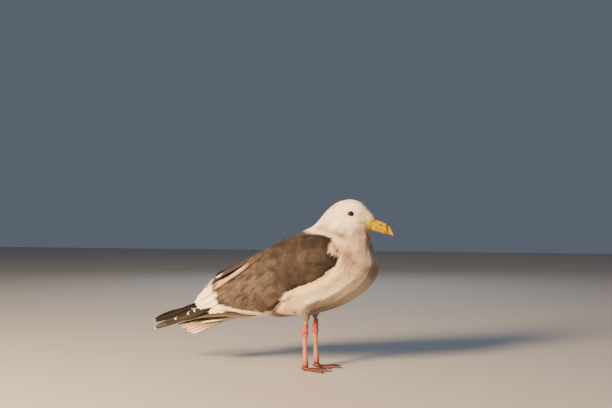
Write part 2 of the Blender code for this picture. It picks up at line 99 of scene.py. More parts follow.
# The whole grey, and the whole folded wing with the white tips of its long feathers.
GREY = np.array(WING_FRONT + [
    (-95, 129), (-150, 133), (-207, 143), (-214, 163), (-226, 178), (-236, 190),
    (-250, 230), (-60, 340)], float)
WING_COVER = np.array(WING_FRONT + [
    (-90, 124), (-150, 122), (-225, 122), (-275, 128), (-280, 180), (-250, 240),
    (-60, 340)], float)
# Patches of the grey that are bleached, or below 0 fresher and darker: (x, z, half
# length, half height, share that they add).
WORN = ((-38, 254, 14, 9, 0.75), (-75, 243, 16, 8, 0.62), (-4, 257, 11, 8, 0.45),
        (21, 212, 13, 9, 0.45), (-54, 269, 22, 5, 0.50), (-69, 225, 10, 6, -0.36),
        (-45, 206, 15, 9, -0.30), (8, 252, 5, 7, -0.40), (41, 236, 16, 9, -0.34),
        (61, 251, 9, 13, -0.30), (-27, 232, 22, 6, -0.36), (-110, 236, 20, 6, 0.30),
        (-12, 213, 9, 9, 0.22), (-20, 188, 12, 9, -0.18), (-95, 205, 12, 8, 0.20))
# Painted shade darkens the belly's underside below this line, seen from the side: (x, z).
BELLY_SHADE_LINE = np.array([(-90, 131), (-62, 139), (-6, 145), (36, 166), (73, 187),
                       (115, 215), (144, 247)], float)
# The yellow corner of the gape, running back into the face: (x, upper z, lower z).
GAPE = np.array([(125.5, 328.6, 327.0), (130, 330.8, 322.0), (135, 332.8, 317.0),
                 (138, 334.0, 315.0), (141, 334.8, 313.0), (144, 335.0, 312.0),
                 (147.5, 334.4, 311.6)], float)
# Where the flank's long feathers end, seen from the side: two soft lobes.
FLANK_TIPS = np.array([
    (51, 215), (42, 207), (32, 201), (21, 196), (10, 192), (-1, 188), (-12, 185),
    (-22, 181), (-31, 176), (-37, 171), (-40, 165), (-35, 160), (-43, 160), (-50, 156),
    (-57, 151), (-63, 147), (-67, 142), (-68, 137), (-62, 133.5), (-52, 131.5)], float)
# The folded wing's largest feathers: (root x, root z, tip x, tip z, width, bow, root
# lift, tip lift).
TERTIALS = [
    (-98, 218, -226, 131, 25, 2, -0.5, 0.9), (-100, 232, -237, 139, 26, 2, -0.4, 1.1),
    (-105, 245, -247, 147, 26, 2, -0.3, 1.3)]
EDGE_TERTIALS = {"right": (-100, 257, -262, 152, 21, 2, 2.2, 3.2),
                 "left": (-100, 254, -262, 149, 20, 2, 1.4, 2.4)}
# Where the loose white plumes at the wing's rear end, seen from the side: (x, z).
PLUME_TIPS = ((-246, 172), (-253, 167), (-257, 161), (-263, 156), (-264, 149), (-268, 144),
              (-264, 138), (-262, 133), (-254, 130), (-250, 126), (-239, 125), (-231, 122.5),
              (-220, 123))
# The outermost primary's outer edge runs all along the folded wing's lower edge:
# (x, y, z) of its centre line.
OUTER_EDGE = np.array([
    (-113, 46.5, 121.5), (-130, 46.0, 121.5), (-150, 44.0, 122.0), (-179, 40.0, 123.5),
    (-221, 32.5, 121.8), (-255, 25.5, 116.5), (-300, 18.0, 107.0), (-346, 11.0, 96.0),
    (-379, 8.6, 81.5)])
# Two narrow white edges that show below the tertials: (x, y, z) of each end.
WHITE_STREAKS = (((-238, 31, 140), (-291, 20.5, 111)), ((-232, 33, 136), (-275, 24.5, 121)))
TAIL_WEAR = (0.0, 6.0, 1.0, 9.0, 2.5, 7.0)      # how much each tail feather has lost

QUILL_ROWS = 30         # points along a long vane
QUILL_COLUMNS = 7       # and across it
LONG_PATCH = 0.010      # a long feather's patch on the skin's unwrap
TUFT_PATCH = 0.003      # a small feather's, round its root's place
UNWRAP_EDGES = (0.0005, 0.9995)     # patches are kept inside the unwrap's square


# ---- Numbers --------------------------------------------------------------------------
def linear(code):
    """An sRGB hex value such as "#EDE6DC" as linear red, green and blue."""
    values = [int(code[i:i + 2], 16) / 255 for i in (1, 3, 5)]
    return np.array([v / 12.92 if v <= 0.04045 else ((v + 0.055) / 1.055) ** 2.4
                     for v in values])


def unit(vectors):
    """The same directions, each one millimetre long."""
    return vectors / np.maximum(np.linalg.norm(vectors, axis=-1, keepdims=True), 1e-9)


def ramp(value, low, high):
    """0 at low, 1 at high, smooth between."""
    share = np.clip((value - low) / (high - low), 0.0, 1.0)
    return share * share * (3 - 2 * share)


def mix(a, b, share):
    """From a, where share is 0, to b, where it is 1."""
    share = np.asarray(share)[..., None]
    return a * (1 - share) + b * share


def towards(colour, code, share):
    """A colour drawn towards a hex value by a share of the way."""
    return mix(colour, linear(code), share)


def look(name):
    """One of the colours that a user can change, as linear values."""
    return np.array(getattr(bpy.context.scene.gull_looks, name)[:])


def blob(points, place, size, power=2):
    """1 at a place (x, z) in the side view, fading out at about its size (x, z)."""
    return np.exp(-((points[:, 0] - place[0]) / size[0]) ** power
                  - ((points[:, 2] - place[1]) / size[1]) ** power)


def outline_distance(points, corners):
    """Distance to a closed outline, above 0 inside it and below 0 outside."""
    x, y = points[:, 0], points[:, 1]
    nearest = np.full(len(points), 1e9)
    inside = np.zeros(len(points), bool)
    for a, b in zip(corners, np.roll(corners, -1, axis=0)):
        edge = b - a
        share = np.clip(((x - a[0]) * edge[0] + (y - a[1]) * edge[1]) / (edge @ edge), 0, 1)
        nearest = np.minimum(nearest, np.hypot(x - a[0] - share * edge[0],
                                               y - a[1] - share * edge[1]))
        crosses = (a[1] > y) != (b[1] > y)
        rise = np.where(abs(edge[1]) < 1e-9, 1e-9, edge[1])
        inside ^= crosses & (x < a[0] + (y - a[1]) * edge[0] / rise)
    return np.where(inside, nearest, -nearest)


def lattice(cells):
    """A repeatable value from 0 to 1 for each whole-numbered cell."""
    cells = cells.astype(np.int64)
    mixed = cells[:, 0] * 73856093 ^ cells[:, 1] * 19349663 ^ cells[:, 2] * 83492791
    mixed = (mixed ^ (mixed >> 13)) * 1274126177 & 0x7FFFFFFF
    return (mixed % 100003) / 100003


def cloudy(points, size):
    """Soft noise from 0 to 1 whose blotches are about size millimetres across."""
    scaled = points / size
    base = np.floor(scaled)
    share = scaled - base
    share = share * share * (3 - 2 * share)
    total = np.zeros(len(points))
    for corner in np.ndindex(2, 2, 2):
        weight = np.prod(np.where(np.array(corner) == 1, share, 1 - share), axis=1)
        total += weight * lattice(base + np.array(corner))
    return total


# ---- Meshes ---------------------------------------------------------------------------
def raw(points):
    """Frame metres to the bird's own millimetres."""
    return np.asarray(points, float) / MM - SHIFT


def framed(points):
    """The bird's own millimetres to frame metres."""
    return (np.asarray(points, float) + SHIFT) * MM


def read_all(items, key, kind=np.float32, size=3):
    """A value of size parts of each of a mesh's items, as rows."""
    found = np.empty(len(items) * size, kind)
    items.foreach_get(key, found)
    return found.reshape(-1, size)


def points_of(mesh):
    """A mesh's points, in the bird's millimetres."""
    return raw(read_all(mesh.vertices, "co"))


def normals_of(mesh):
    """The outward way at each of a mesh's points."""
    return read_all(mesh.vertex_normals, "vector").astype(float)


def move_points(mesh, points):
    """Sets a mesh's points, given in the bird's millimetres."""
    mesh.vertices.foreach_set("co", framed(points).astype(np.float32).ravel())
    mesh.update()


def select_only(obj):
    """Leaves one object selected and active."""
    bpy.ops.object.select_all(action="DESELECT")
    obj.select_set(True)
    bpy.context.view_layer.objects.active = obj


def apply_modifier(obj, kind, **settings):
    """Adds a modifier with its settings and applies it."""
    select_only(obj)
    added = obj.modifiers.new(kind.lower(), kind)
    for key, value in settings.items():
        setattr(added, key, value)
    bpy.ops.object.modifier_apply(modifier=added.name)


def copy_of_nodes(name, nodes, grow=0.0):
    """One object from copies of CAD nodes, their doubles merged, grown by millimetres."""
    bpy.ops.object.select_all(action="DESELECT")
    copies = []
    for node in nodes:
        copy = bpy.data.objects.new(name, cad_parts[node].data.copy())
        bpy.context.scene.collection.objects.link(copy)
        copy.select_set(True)
        copies.append(copy)
    bpy.context.view_layer.objects.active = copies[0]
    if len(copies) > 1:
        bpy.ops.object.join()
    joined = copies[0]
    joined.name = name
    joined.data.materials.clear()
    bpy.ops.object.mode_set(mode="EDIT")
    bpy.ops.mesh.select_all(action="SELECT")
    bpy.ops.mesh.remove_doubles(threshold=0.00001)
    bpy.ops.object.mode_set(mode="OBJECT")
    if grow:
        apply_modifier(joined, "DISPLACE", strength=grow * MM, mid_level=0.0)
    return joined


def keep_largest_shell(obj):
    """Drops the bubbles that a remesh leaves inside."""
    mesh = bmesh.new()
    mesh.from_mesh(obj.data)
    left = set(mesh.verts)
    shells = []
    while left:
        first = left.pop()
        stack, shell = [first], [first]
        while stack:
            for edge in stack.pop().link_edges:
                for vert in edge.verts:
                    if vert in left:
                        left.remove(vert)
                        stack.append(vert)
                        shell.append(vert)
        shells.append(shell)
    largest = max(shells, key=len)
    for shell in shells:
        if shell is not largest:
            bmesh.ops.delete(mesh, geom=shell, context="VERTS")
    mesh.to_mesh(obj.data)
    mesh.free()


def melted(name, nodes, voxel, rounds, grow=0.0):
    """CAD nodes as one even surface with faces of voxel mm, and its points."""
    obj = copy_of_nodes(name, nodes, grow)
    apply_modifier(obj, "REMESH", mode="VOXEL", voxel_size=voxel * MM)
    keep_largest_shell(obj)
    apply_modifier(obj, "SMOOTH", factor=0.5, iterations=rounds)
    return obj, points_of(obj.data)


def triangle_object(name, points, triangles, material, colours, root_uv, vane_uv):
    """A mesh object from arrays: points in the bird's millimetres, three to a face."""
    mesh = bpy.data.meshes.new(name)
    mesh.vertices.add(len(points))
    mesh.vertices.foreach_set("co", framed(points).astype(np.float32).ravel())
    corners = triangles.astype(np.int32).ravel()
    mesh.loops.add(len(corners))
    mesh.loops.foreach_set("vertex_index", corners)
    mesh.polygons.add(len(triangles))
    mesh.polygons.foreach_set("loop_start", np.arange(0, len(corners), 3, dtype=np.int32))
    mesh.update(calc_edges=True)
    inside = np.clip(root_uv, *UNWRAP_EDGES)
    for layer_name, places in (("OFBake", inside), ("vane", vane_uv)):
        layer = mesh.uv_layers.new(name=layer_name)
        layer.data.foreach_set("uv", places[corners].astype(np.float32).ravel())
    paint(mesh, np.clip(colours, 0, 1))
    mesh.materials.append(material)
    obj = bpy.data.objects.new(name, mesh)
    bpy.context.scene.collection.objects.link(obj)
    select_only(obj)
    bpy.ops.object.shade_smooth_by_angle(angle=math.radians(70))
    return obj


def paint(mesh, colours):
    """Gives each point of a mesh its linear colour."""
    layer = mesh.attributes.new("markings", "FLOAT_COLOR", "POINT")
    full = np.ones((len(colours), 4), np.float32)
    full[:, :3] = colours
    layer.data.foreach_set("color", full.ravel())


def dress(obj, colours, material, nodes=()):
    """Colours a smooth piece, gives it its material and says what it is."""
    paint(obj.data, colours)
    obj.data.materials.append(material)
    obj.data.shade_smooth()
    finish_piece(obj, nodes)


def finish_piece(obj, nodes=()):
    """Says what a piece rides on, and any CAD nodes that it replaces."""
    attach(obj, "root")
    if nodes:
        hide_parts(*nodes)


# ---- The surface that the feathers lie along --------------------------------------------
class Plumage:
    """The outer surface of the coat, with its unwrap; made once with the skin."""

    def __init__(self, mesh):
        self.points = points_of(mesh)
        self.normals = normals_of(mesh)
        mesh.calc_loop_triangles()
        self.triangles = read_all(mesh.loop_triangles, "vertices", np.int32)
        corners = read_all(mesh.loop_triangles, "loops", np.int32)
        self.uv = read_all(mesh.uv_layers["OFBake"].data, "uv", size=2)[corners]
        self.tree = BVHTree.FromPolygons(self.points.tolist(), self.triangles.tolist())
        a, b, c = (self.points[self.triangles[:, i]] for i in range(3))
        crossed = np.cross(b - a, c - a)
        self.areas = np.linalg.norm(crossed, axis=1) / 2
        self.facing = unit(crossed)
        self.centres = (a + b + c) / 3

    def at(self, triangle, shares):
        """Points, normals and unwrap places inside triangles, from corner shares."""
        corner = self.triangles[triangle]
        points, normals, places = (
            np.einsum("ij,ijk->ik", shares, values)
            for values in (self.points[corner], self.normals[corner], self.uv[triangle]))
        return points, unit(normals), places

    def nearest(self, points):
        """The closest surface points, with smooth normals and unwrap places."""
        found = np.empty(len(points), int)
        spots = np.empty((len(points), 3))
        for i, point in enumerate(points.tolist()):
            spot, _, index, _ = self.tree.find_nearest(point)
            spots[i] = spot
            found[i] = index
        return self.resolve(found, spots)

    def resolve(self, found, spots):
        """The same as at, for spots that lie in the triangles found."""
        a, b, c = (self.points[self.triangles[found, i]] for i in range(3))
        across = np.cross(b - a, c - a)
        whole = np.maximum(np.einsum("ij,ij->i", across, across), 1e-12)
        second = np.einsum("ij,ij->i", np.cross(spots - a, c - a), across) / whole
        third = np.einsum("ij,ij->i", np.cross(b - a, spots - a), across) / whole
        shares = np.clip(np.stack([1 - second - third, second, third], axis=1), 0, 1)
        return self.at(found, shares / shares.sum(axis=1, keepdims=True))

    def from_outside(self, starts, ways):
        """Where rays from outside first meet the surface; misses come back as NaN."""
        found = np.zeros(len(starts), int)
        spots = np.full((len(starts), 3), np.nan)
        for i, (start, way) in enumerate(zip(starts.tolist(), ways.tolist())):
            spot, _, index, _ = self.tree.ray_cast(start, way)
            if spot is not None:
                spots[i] = spot
                found[i] = index
        missed = np.isnan(spots[:, 0])
        points, normals, places = self.resolve(found, np.nan_to_num(spots))
        points[missed] = np.nan
        return points, normals, places


KEPT = {}       # what one operator leaves for the next: the plumage and wing surfaces


# ---- Markings ---------------------------------------------------------------------------
def beneath_wing(points):
    """The rump and the wings' inner faces, where the side view's outlines don't hold."""
    x, y, z = points.T
    return (x < -98) & (np.abs(y) < 22 + 0.13 * (x + 230)) & (z < 0.72 * (x + 230) + 165)


def on_wing_or_back(points):
    """Above 0 where the side view's grey outline falls on the wing or the back."""
    return np.where(beneath_wing(points), -20.0,
                    outline_distance(points[:, [0, 2]], GREY))


def under_cover(points):
    """Above 0 where the wing's own feathers cover the surface, white tips and all."""
    return np.where(beneath_wing(points), -20.0,
                    outline_distance(points[:, [0, 2]], WING_COVER))


def gape_share(points):
    """Above 0 inside the yellow corner of the gape, in millimetres from its edges."""
    x, z = points[:, 0], points[:, 2]
    upper = np.interp(x, GAPE[:, 0], GAPE[:, 1]) - z
    lower = z - np.interp(x, GAPE[:, 0], GAPE[:, 2])
    ahead = x - (GAPE[0, 0] - 1.0)
    return np.where(ahead < 0, -9.0, np.minimum(np.minimum(upper, lower), ahead))


def markings(points):
    """The plumage's colour at points in the bird's millimetres, as linear values."""
    white = look("white")
    colour = np.tile(white, (len(points), 1))
    # Two clouds that break up every marking of the white: a feather's width, and broader.
    fine = ramp(cloudy(points * np.array([1.0, 1.0, 0.28]), 4.6), 0.42, 0.80)
    broad = ramp(cloudy(points * np.array([1.0, 1.0, 0.5]) + 40.0, 15.0), 0.35, 0.65)
    neck = ramp(points[:, 0], 15, 75) * (1 - ramp(points[:, 2], 308, 330)) * ramp(
        points[:, 2], 185, 235)
    colour = neck_markings(colour, points, neck, fine, broad)
    colour = head_markings(colour, points)
    blotch = ramp(cloudy(points * np.array([1.0, 1.0, 0.55]) + 90.0, 9.0), 0.48, 0.74)
    colour = towards(colour, "#8E6A52", 0.34 * neck * blotch)
    colour = belly_painted_shade(colour, points, fine, broad)
    wobble = (cloudy(points, 5.0) - 0.5) * 2.4
    share = ramp(on_wing_or_back(points) + wobble, -1.5, 1.5)
    return mix(colour, grey_shades(points), share)


def neck_markings(colour, points, neck, fine, broad):
    """Winter streaks down neck and breast, painted shade on the front of neck and breast and
    on the lower flank, and a collar band that is partly dusky and partly painted shade.
    """
    x, z = points[:, 0], points[:, 2]
    front = ramp(x + 0.25 * (z - 260), 62, 104)
    tan = neck * ramp(cloudy(points + 15.0, 22.0), 0.2, 0.7)
    colour = towards(colour, "#D2AE85", 0.50 * tan)
    # Dusky streaks, and painted shade that darkens the neck more towards its front.
    colour = towards(colour, "#8C766E", neck * (0.16 + 0.26 * front + 0.46 * fine * broad))
    # Painted shade: the lower flank tinted darker, with a mottle.
    flank = ramp(x, -10, 60) * (1 - ramp(z, 250, 290))
    colour = towards(colour, "#A5886C", flank * (0.22 + 0.34 * fine * broad))
    # The collar band: partly dusky streaks, partly painted shade where the neck meets the
    # mantle.
    collar = np.exp(-((z - 309 + 0.33 * (x - 60)) / 6.0) ** 2) * ramp(x, 14, 34)
    colour = towards(colour, "#56454B",
                     (0.50 + 0.40 * broad) * collar * (1 - ramp(x, 88, 108)))
    return towards(colour, "#5E382A", 0.85 * blob(points, (31, 319), (7.0, 3.5)))


def head_markings(colour, points):
    """Faint flecks on crown and nape, the mouth's corner and the dusky lores."""
    x, z = points[:, 0], points[:, 2]
    flecks = ramp(cloudy(points, 3.6), 0.58, 0.86) * ramp(z, 296, 326)
    colour = towards(colour, "#B79A7C", 0.42 * flecks)
    nape = ramp(cloudy(points * np.array([1.0, 1.0, 0.6]) + 9.0, 6.5), 0.48, 0.78)
    nape = nape * ramp(z, 300, 318) * (1 - ramp(x, 48, 78))
    colour = towards(colour, "#A58A74", 0.46 * nape)
    corner = np.interp(x, [110, 126], [331.0, 327.8])
    mouth = np.exp(-((z - corner) / 1.1) ** 2) * ramp(x, 111, 117) * (1 - ramp(x, 127, 130))
    colour = towards(colour, "#7A3A1C", 0.9 * mouth)
    return towards(colour, "#B8A48E", 0.28 * blob(points, (112, 346), (8, 4.5)))


def belly_painted_shade(colour, points, fine, broad):
    """Painted shade: the underside darkened below a line, darkest at the rear, and a painted
    shadow in the crease behind the flank.
    """
    x, z = points[:, 0], points[:, 2]
    under = np.interp(x, BELLY_SHADE_LINE[:, 0], BELLY_SHADE_LINE[:, 1]) - z
    under = ramp(under + 6.0 * (broad - 0.5), 0, 9) * ramp(x, -92, -74)
    under = under * (0.88 - 0.48 * ramp(x, 30, 115)) * (0.9 + 0.1 * fine)
    crease = blob(points, (-75, 130), (6.5, 7.0), 4)
    # Painted shade: dark brown over the white below the line, and a painted shadow in the
    # crease.
    return towards(colour, "#3C2D23", np.maximum(under, 0.9 * crease))


def grey_shades(points):
    """The grey: worn patches a feather or two across, and painted shade that darkens it
    towards the shoulder.
    """
    x, z = points[:, 0], points[:, 2]
    grey = look("grey")
    patch = ramp(cloudy(points * np.array([1.0, 0.7, 1.0]) + 70.0, 12.0), 0.30, 0.72)
    worn = 0.58 + 0.34 * cloudy(points, 30.0) + 0.50 * patch
    for at_x, at_z, long, high, gain in WORN:
        worn = worn + gain * blob(points, (at_x, at_z), (long, high), 4)
    across = 0.73 * z - 0.68 * x + 5.0 * cloudy(points, 24.0)
    streaks = ramp(-x, 80, 115) * (1 - ramp(z, 205, 225))
    worn = worn * (1 + 0.20 * streaks * np.sin(across * (2 * math.pi / STREAK_APART)))
    # Painted shade: darker towards the shoulder and the top, lighter towards the rear as if
    # lit.
    front = 1.58 - 0.82 * ramp(x + 0.5 * (z - 220), -125, -25)
    # The worn patches are a little browner than the rest.
    brown = np.array([0.05, -0.01, -0.08]) * (patch - 0.5)[:, None]
    return grey * (worn * front)[:, None] * (1 + brown)


def eye_oval(points):
    """Distance from the line through both eyes, less lengthways than upwards."""
    return np.hypot((points[:, 0] - EYE_AT[0]) / EYE_OVAL[0],
                    (points[:, 2] - EYE_AT[2]) / EYE_OVAL[1])


def eye_distance(points):
    """The same, but far off for points inside the head."""
    return eye_oval(points) + 50.0 * (np.abs(points[:, 1]) < HEAD_CORE)


# ---- The skin's and the coat's shape ----------------------------------------------------
def coat_depth(points):
    """How far the skin lies under the feathers' outer surface."""
    depth = 0.8 + 1.8 * ramp(np.linalg.norm(points - BILL_ROOT, axis=1), 55, 120)
    depth = depth + (0.9 - depth) * ramp(-points[:, 0], 105, 150)
    thigh = (points[:, 2] < 150) & (np.abs(points[:, 0]) < 22)
    depth = np.where(thigh, np.minimum(depth, 1.6), depth)
    return depth * ramp(eye_distance(points), EYE_RADIUS, EYE_RADIUS + 6)


def flank_puff(points):
    """How far the flank's feathers swell out over the wing's lower front edge."""
    edge = on_wing_or_back(points)
    front = ramp(points[:, 0], -92, -66) * (1 - ramp(points[:, 2], 262, 285))
    outside = np.where(edge < 0, np.exp(-((edge + 5) / 15.0) ** 2), 0.0)
    outside = outside * ramp(-edge, 0.0, 5.0)
    inside = np.where(edge >= 0, np.exp(-(edge / 4.0) ** 2), 0.0)
    return front * (4.2 * outside - 1.2 * inside)


def narrow_face(points):
    """Tapers the cheeks towards the bill's root."""
    x, y, z = points.T
    share = ramp(z, 292, 306) * (1 - ramp(z, 342, 356))
    full = np.interp(x, [104, 114, 122, 129, 136, 144], [1, 0.95, 0.86, 0.85, 0.91, 1])
    shaped = points.copy()
    shaped[:, 1] = y * (1 + (full - 1) * share)
    return shaped


def short_thighs(points):
    """Draws the thighs' feathering up and in, round each shank."""
    x, y, z = points.T
    low = (z < 132) & (np.abs(x) < 30) & (np.abs(y) > 6) & (np.abs(y) < 48)
    shaped = points.copy()
    share = np.where(low, ramp(132 - z, 0, 16), 0.0)
    shaped[:, 0] = x + share * (THIGH_AXIS[0] - x) * 0.36
    shaped[:, 1] = y + share * (np.sign(y) * THIGH_AXIS[1] - y) * 0.36
    return shaped


# ---- Feathers ---------------------------------------------------------------------------
def on_thigh(points):
    """Whether points lie on the feathering round either shank."""
    return (points[:, 2] < 135) & (np.abs(points[:, 0]) < 20)


def flattened(ways, normals):
    """The same ways, laid along the surface that has these normals."""
    return unit(ways - normals * np.einsum("ij,ij->i", ways, normals)[:, None])


def lie(points, normals):
    """The way the feathers lie: away from the bill on the head, tailwards elsewhere."""
    from_bill = unit(points - BILL_ROOT)
    share = ramp(np.linalg.norm(points - BILL_ROOT, axis=1), 55, 115)
    way = mix(from_bill, np.tile(unit(BODY_LIE), (len(points), 1)), share)
    way = np.where(on_thigh(points)[:, None], np.array([-0.1, 0.0, -1.0]), way)
    return flattened(way, normals)


def random_roots(plumage, wanted, dense, seed):
    """Random places on the triangles that are wanted, dense of them to a square mm."""
    chance = np.where(wanted, plumage.areas, 0.0)
    count = int(dense * chance.sum())
    draw = np.random.default_rng(seed)
    chosen = draw.choice(len(chance), count, p=chance / chance.sum())
    shares = draw.random((count, 2))
    over = shares.sum(axis=1) > 1
    shares[over] = 1 - shares[over]
    shares = np.column_stack([1 - shares.sum(axis=1), shares])
    return (*plumage.at(chosen, shares), draw)


def scattered(plumage, wanted, spacing, seed):
    """Evenly scattered roots, one to each cell of about spacing millimetres."""
    points, normals, places, draw = random_roots(plumage, wanted, 6 / spacing ** 2, seed)
    cells = np.floor(points / (1.22 * spacing)).astype(np.int64)
    _, first = np.unique(cells, axis=0, return_index=True)
    first.sort()
    return points[first], normals[first], places[first], draw


# A cell of a grid itself and the 26 round it.
NEAR_CELLS = [tuple(step - 1 for step in steps) for steps in np.ndindex(3, 3, 3)]


def crowded(point, cell, cells, apart):
    """Whether a point that is already kept lies closer than apart."""
    for step in NEAR_CELLS:
        for other in cells.get((cell[0] + step[0], cell[1] + step[1], cell[2] + step[2]), ()):
            gap = ((point[0] - other[0]) ** 2 + (point[1] - other[1]) ** 2
                   + (point[2] - other[2]) ** 2)
            if gap < apart ** 2:
                return True
    return False


def spread_roots(plumage, wanted, spacing, seed):
    """Roots at least spacing(points) apart, scattered over the triangles wanted."""
    closest = spacing(plumage.centres[wanted]).min()
    points, normals, places, draw = random_roots(plumage, wanted, 7 / closest ** 2, seed)
    apart = spacing(points)
    cells = {}
    kept = []
    keys = np.floor(points / apart.max()).astype(int)
    for i, (key, point) in enumerate(zip(keys.tolist(), points.tolist())):
        if not crowded(point, key, cells, apart[i]):
            cells.setdefault(tuple(key), []).append(point)
            kept.append(i)
    return points[kept], normals[kept], places[kept], draw


# A small feather is a blade of eight points and twelve triangles. Each point lies so far
# along it, so far across as a share of its half width, and so far up its ridge.
TUFT_TRIANGLES = np.array([
    (0, 2, 1), (0, 3, 2), (1, 2, 5), (1, 5, 4), (2, 3, 6), (2, 6, 5), (4, 5, 7), (5, 6, 7),
    (0, 1, 3), (1, 4, 6), (1, 6, 3), (4, 7, 6)])
TUFT_ALONG = np.array([0.0, 0.40, 0.40, 0.40, 0.80, 0.80, 0.80, 1.0])
TUFT_ACROSS = np.array([0.0, -1.0, 0.0, 1.0, -0.78, 0.0, 0.78, 0.0])
TUFT_RIDGE = np.array([0.0, 0.0, 1.0, 0.0, 0.0, 0.8, 0.0, 0.0])
TUFT_LIFT = 0.35        # how far a tuft's tip stands off the coat's surface
TUFT_SINK = 0.9         # how far its root goes in, as a share of the coat's depth


def tuft_size(points):
    """Length and width of the small feathers: finest on the face."""
    away = np.linalg.norm(points - BILL_ROOT, axis=1)
    length = 2.6 + 4.4 * ramp(away, 20, 75) + 6.0 * ramp(away, 80, 170)
    width = 0.9 + 0.9 * ramp(away, 20, 75) + 1.6 * ramp(away, 80, 170)
    length = length * (0.5 + 0.5 * ramp(eye_distance(points), 8, 20))
    width = width * (0.65 + 0.35 * ramp(eye_distance(points), 8, 20))
    belly = ramp(-points[:, 0], -10, 60) * (1 - ramp(points[:, 2], 200, 250))
    length = np.where(on_thigh(points), 7.0, length + 2.5 * belly)
    width = np.where(on_thigh(points), 1.8, width + 0.4 * belly)
    return length, width


def tufts(name, plumage, material, wanted, spacing, seed):
    """A coat of small feathers: each a thin, ridged blade of twelve faces."""
    points, normals, places, draw = scattered(plumage, wanted, spacing, seed)
    count = len(points)
    ways = lie(points, normals)
    swing = draw.normal(0.0, 0.13, count)[:, None]
    ways = unit(ways + np.cross(ways, normals) * swing)
    length, width = tuft_size(points)
    length = length * draw.uniform(0.8, 1.2, count)
    width = width * draw.uniform(0.85, 1.15, count)
    ends, end_normals, _ = plumage.nearest(points + ways * length[:, None])
    bend = np.linalg.norm(end_normals - normals, axis=1)
    bulge = np.linalg.norm(ends - points, axis=1) * bend / 8
    sideways = unit(np.cross(ways, unit((normals + end_normals) / 2)))
    high = TUFT_LIFT * draw.uniform(0.4, 1.3, count)
    depth = coat_depth(points) * TUFT_SINK
    t = TUFT_ALONG[None, :, None]
    base = points[:, None] * (1 - t) + ends[:, None] * t
    up = unit(normals[:, None] * (1 - t) + end_normals[:, None] * t)
    rise = -depth[:, None] * (1 - TUFT_ALONG) ** 3 + high[:, None] * TUFT_ALONG ** 1.2
    rise = rise + 4 * bulge[:, None] * TUFT_ALONG * (1 - TUFT_ALONG)
    rise = rise + TUFT_RIDGE * np.minimum(0.14 * width, 0.45)[:, None]
    out = TUFT_ACROSS * width[:, None] / 2
    shaped = base + up * rise[..., None] + sideways[:, None] * out[..., None]
    patch = np.stack([TUFT_ACROSS / 2, TUFT_ALONG - 0.5], axis=-1) * TUFT_PATCH
    places = places[:, None] + patch
    vane = np.stack([out, TUFT_ALONG * length[:, None]], axis=-1)
    tint = draw.normal(1.0, 0.035, count)
    # A tuft has its root's colour, with some of the marking that its tip lies in.
    colours = markings(shaped.reshape(-1, 3)).reshape(count, 8, 3)
    colours = colours * 0.55 + markings(points)[:, None] * 0.45
    colours = colours * (tint[:, None] * (0.93 + 0.09 * TUFT_ALONG))[..., None]
    triangles = (TUFT_TRIANGLES[None] + 8 * np.arange(count)[:, None, None]).reshape(-1, 3)
    return triangle_object(name, shaped.reshape(-1, 3), triangles, material,
                           colours.reshape(-1, 3), places.reshape(-1, 2),
                           vane.reshape(-1, 2))


def closed_grid(rows, columns):
    """Triangles of a thin closed vane: its top, then its underside, sharing their rim."""
    top = np.arange(rows * columns).reshape(rows, columns)
    under = top.copy()
    inner = (rows - 2) * (columns - 2)
    under[1:-1, 1:-1] = rows * columns + np.arange(inner).reshape(rows - 2, columns - 2)
    # Two corner cells are cut the other way, or both faces would share a triangle there.
    other = np.zeros((rows - 1, columns - 1), bool)
    other[0, -1] = other[-1, 0] = True
    other = other.ravel()[:, None]
    faces = []
    for grid, turned in ((top, False), (under, True)):
        a, b = grid[:-1, :-1].ravel(), grid[:-1, 1:].ravel()
        c, d = grid[1:, 1:].ravel(), grid[1:, :-1].ravel()
        first = np.where(other, np.stack([a, b, d], 1), np.stack([a, b, c], 1))
        second = np.where(other, np.stack([b, c, d], 1), np.stack([a, c, d], 1))
        for corners in (first, second):
            faces.append(corners[:, ::-1] if turned else corners)
    return np.concatenate(faces)


def facing_out(grids, normals, *others):
    """Turns each feather's columns so that its faces look along its normals."""
    down = grids[:, -1, 1:-1] - grids[:, 0, 1:-1]
    across = grids[:, 1:-1, -1] - grids[:, 1:-1, 0]
    front = np.cross(across.mean(axis=1), down.mean(axis=1))
    turned = np.einsum("ij,ij->i", front, normals.mean(axis=(1, 2))) < 0
    found = []
    for values in (grids, normals, *others):
        values = values.copy()
        values[turned] = values[turned][:, :, ::-1]
        found.append(values)
    return found


def vane_object(name, grids, normals, thick, material, colours, places, vane):
    """Wide feathers as closed grids: arrays of (feather, row, column, 3)."""
    grids, normals, colours, places, vane = facing_out(grids, normals, colours, places,
                                                       vane)
    count, rows, columns, _ = grids.shape
    under = (grids - normals * thick)[:, 1:-1, 1:-1].reshape(count, -1, 3)
    points = np.concatenate([grids.reshape(count, -1, 3), under], axis=1)

    def both(values):
        """A value for each point of the upper face, then for each inner one below."""
        inner = values[:, 1:-1, 1:-1].reshape(count, -1, values.shape[-1])
        whole = values.reshape(count, -1, values.shape[-1])
        return np.concatenate([whole, inner], axis=1).reshape(-1, values.shape[-1])

    each = points.shape[1]
    triangles = closed_grid(rows, columns)[None] + each * np.arange(count)[:, None, None]
    return triangle_object(name, points.reshape(-1, 3), triangles.reshape(-1, 3),
                           material, both(colours), both(places), both(vane))


def vane_width(t, blunt):
    """A feather's half width along its length, as a share: round at its tip."""
    root = 0.45 + 0.55 * np.minimum(1.0, t / 0.35)
    tip = np.sqrt(np.clip(1 - np.clip((t - (1 - blunt)) / blunt, 0, 1) ** 2, 0.0, 1))
    return root * np.maximum(tip, 0.10)


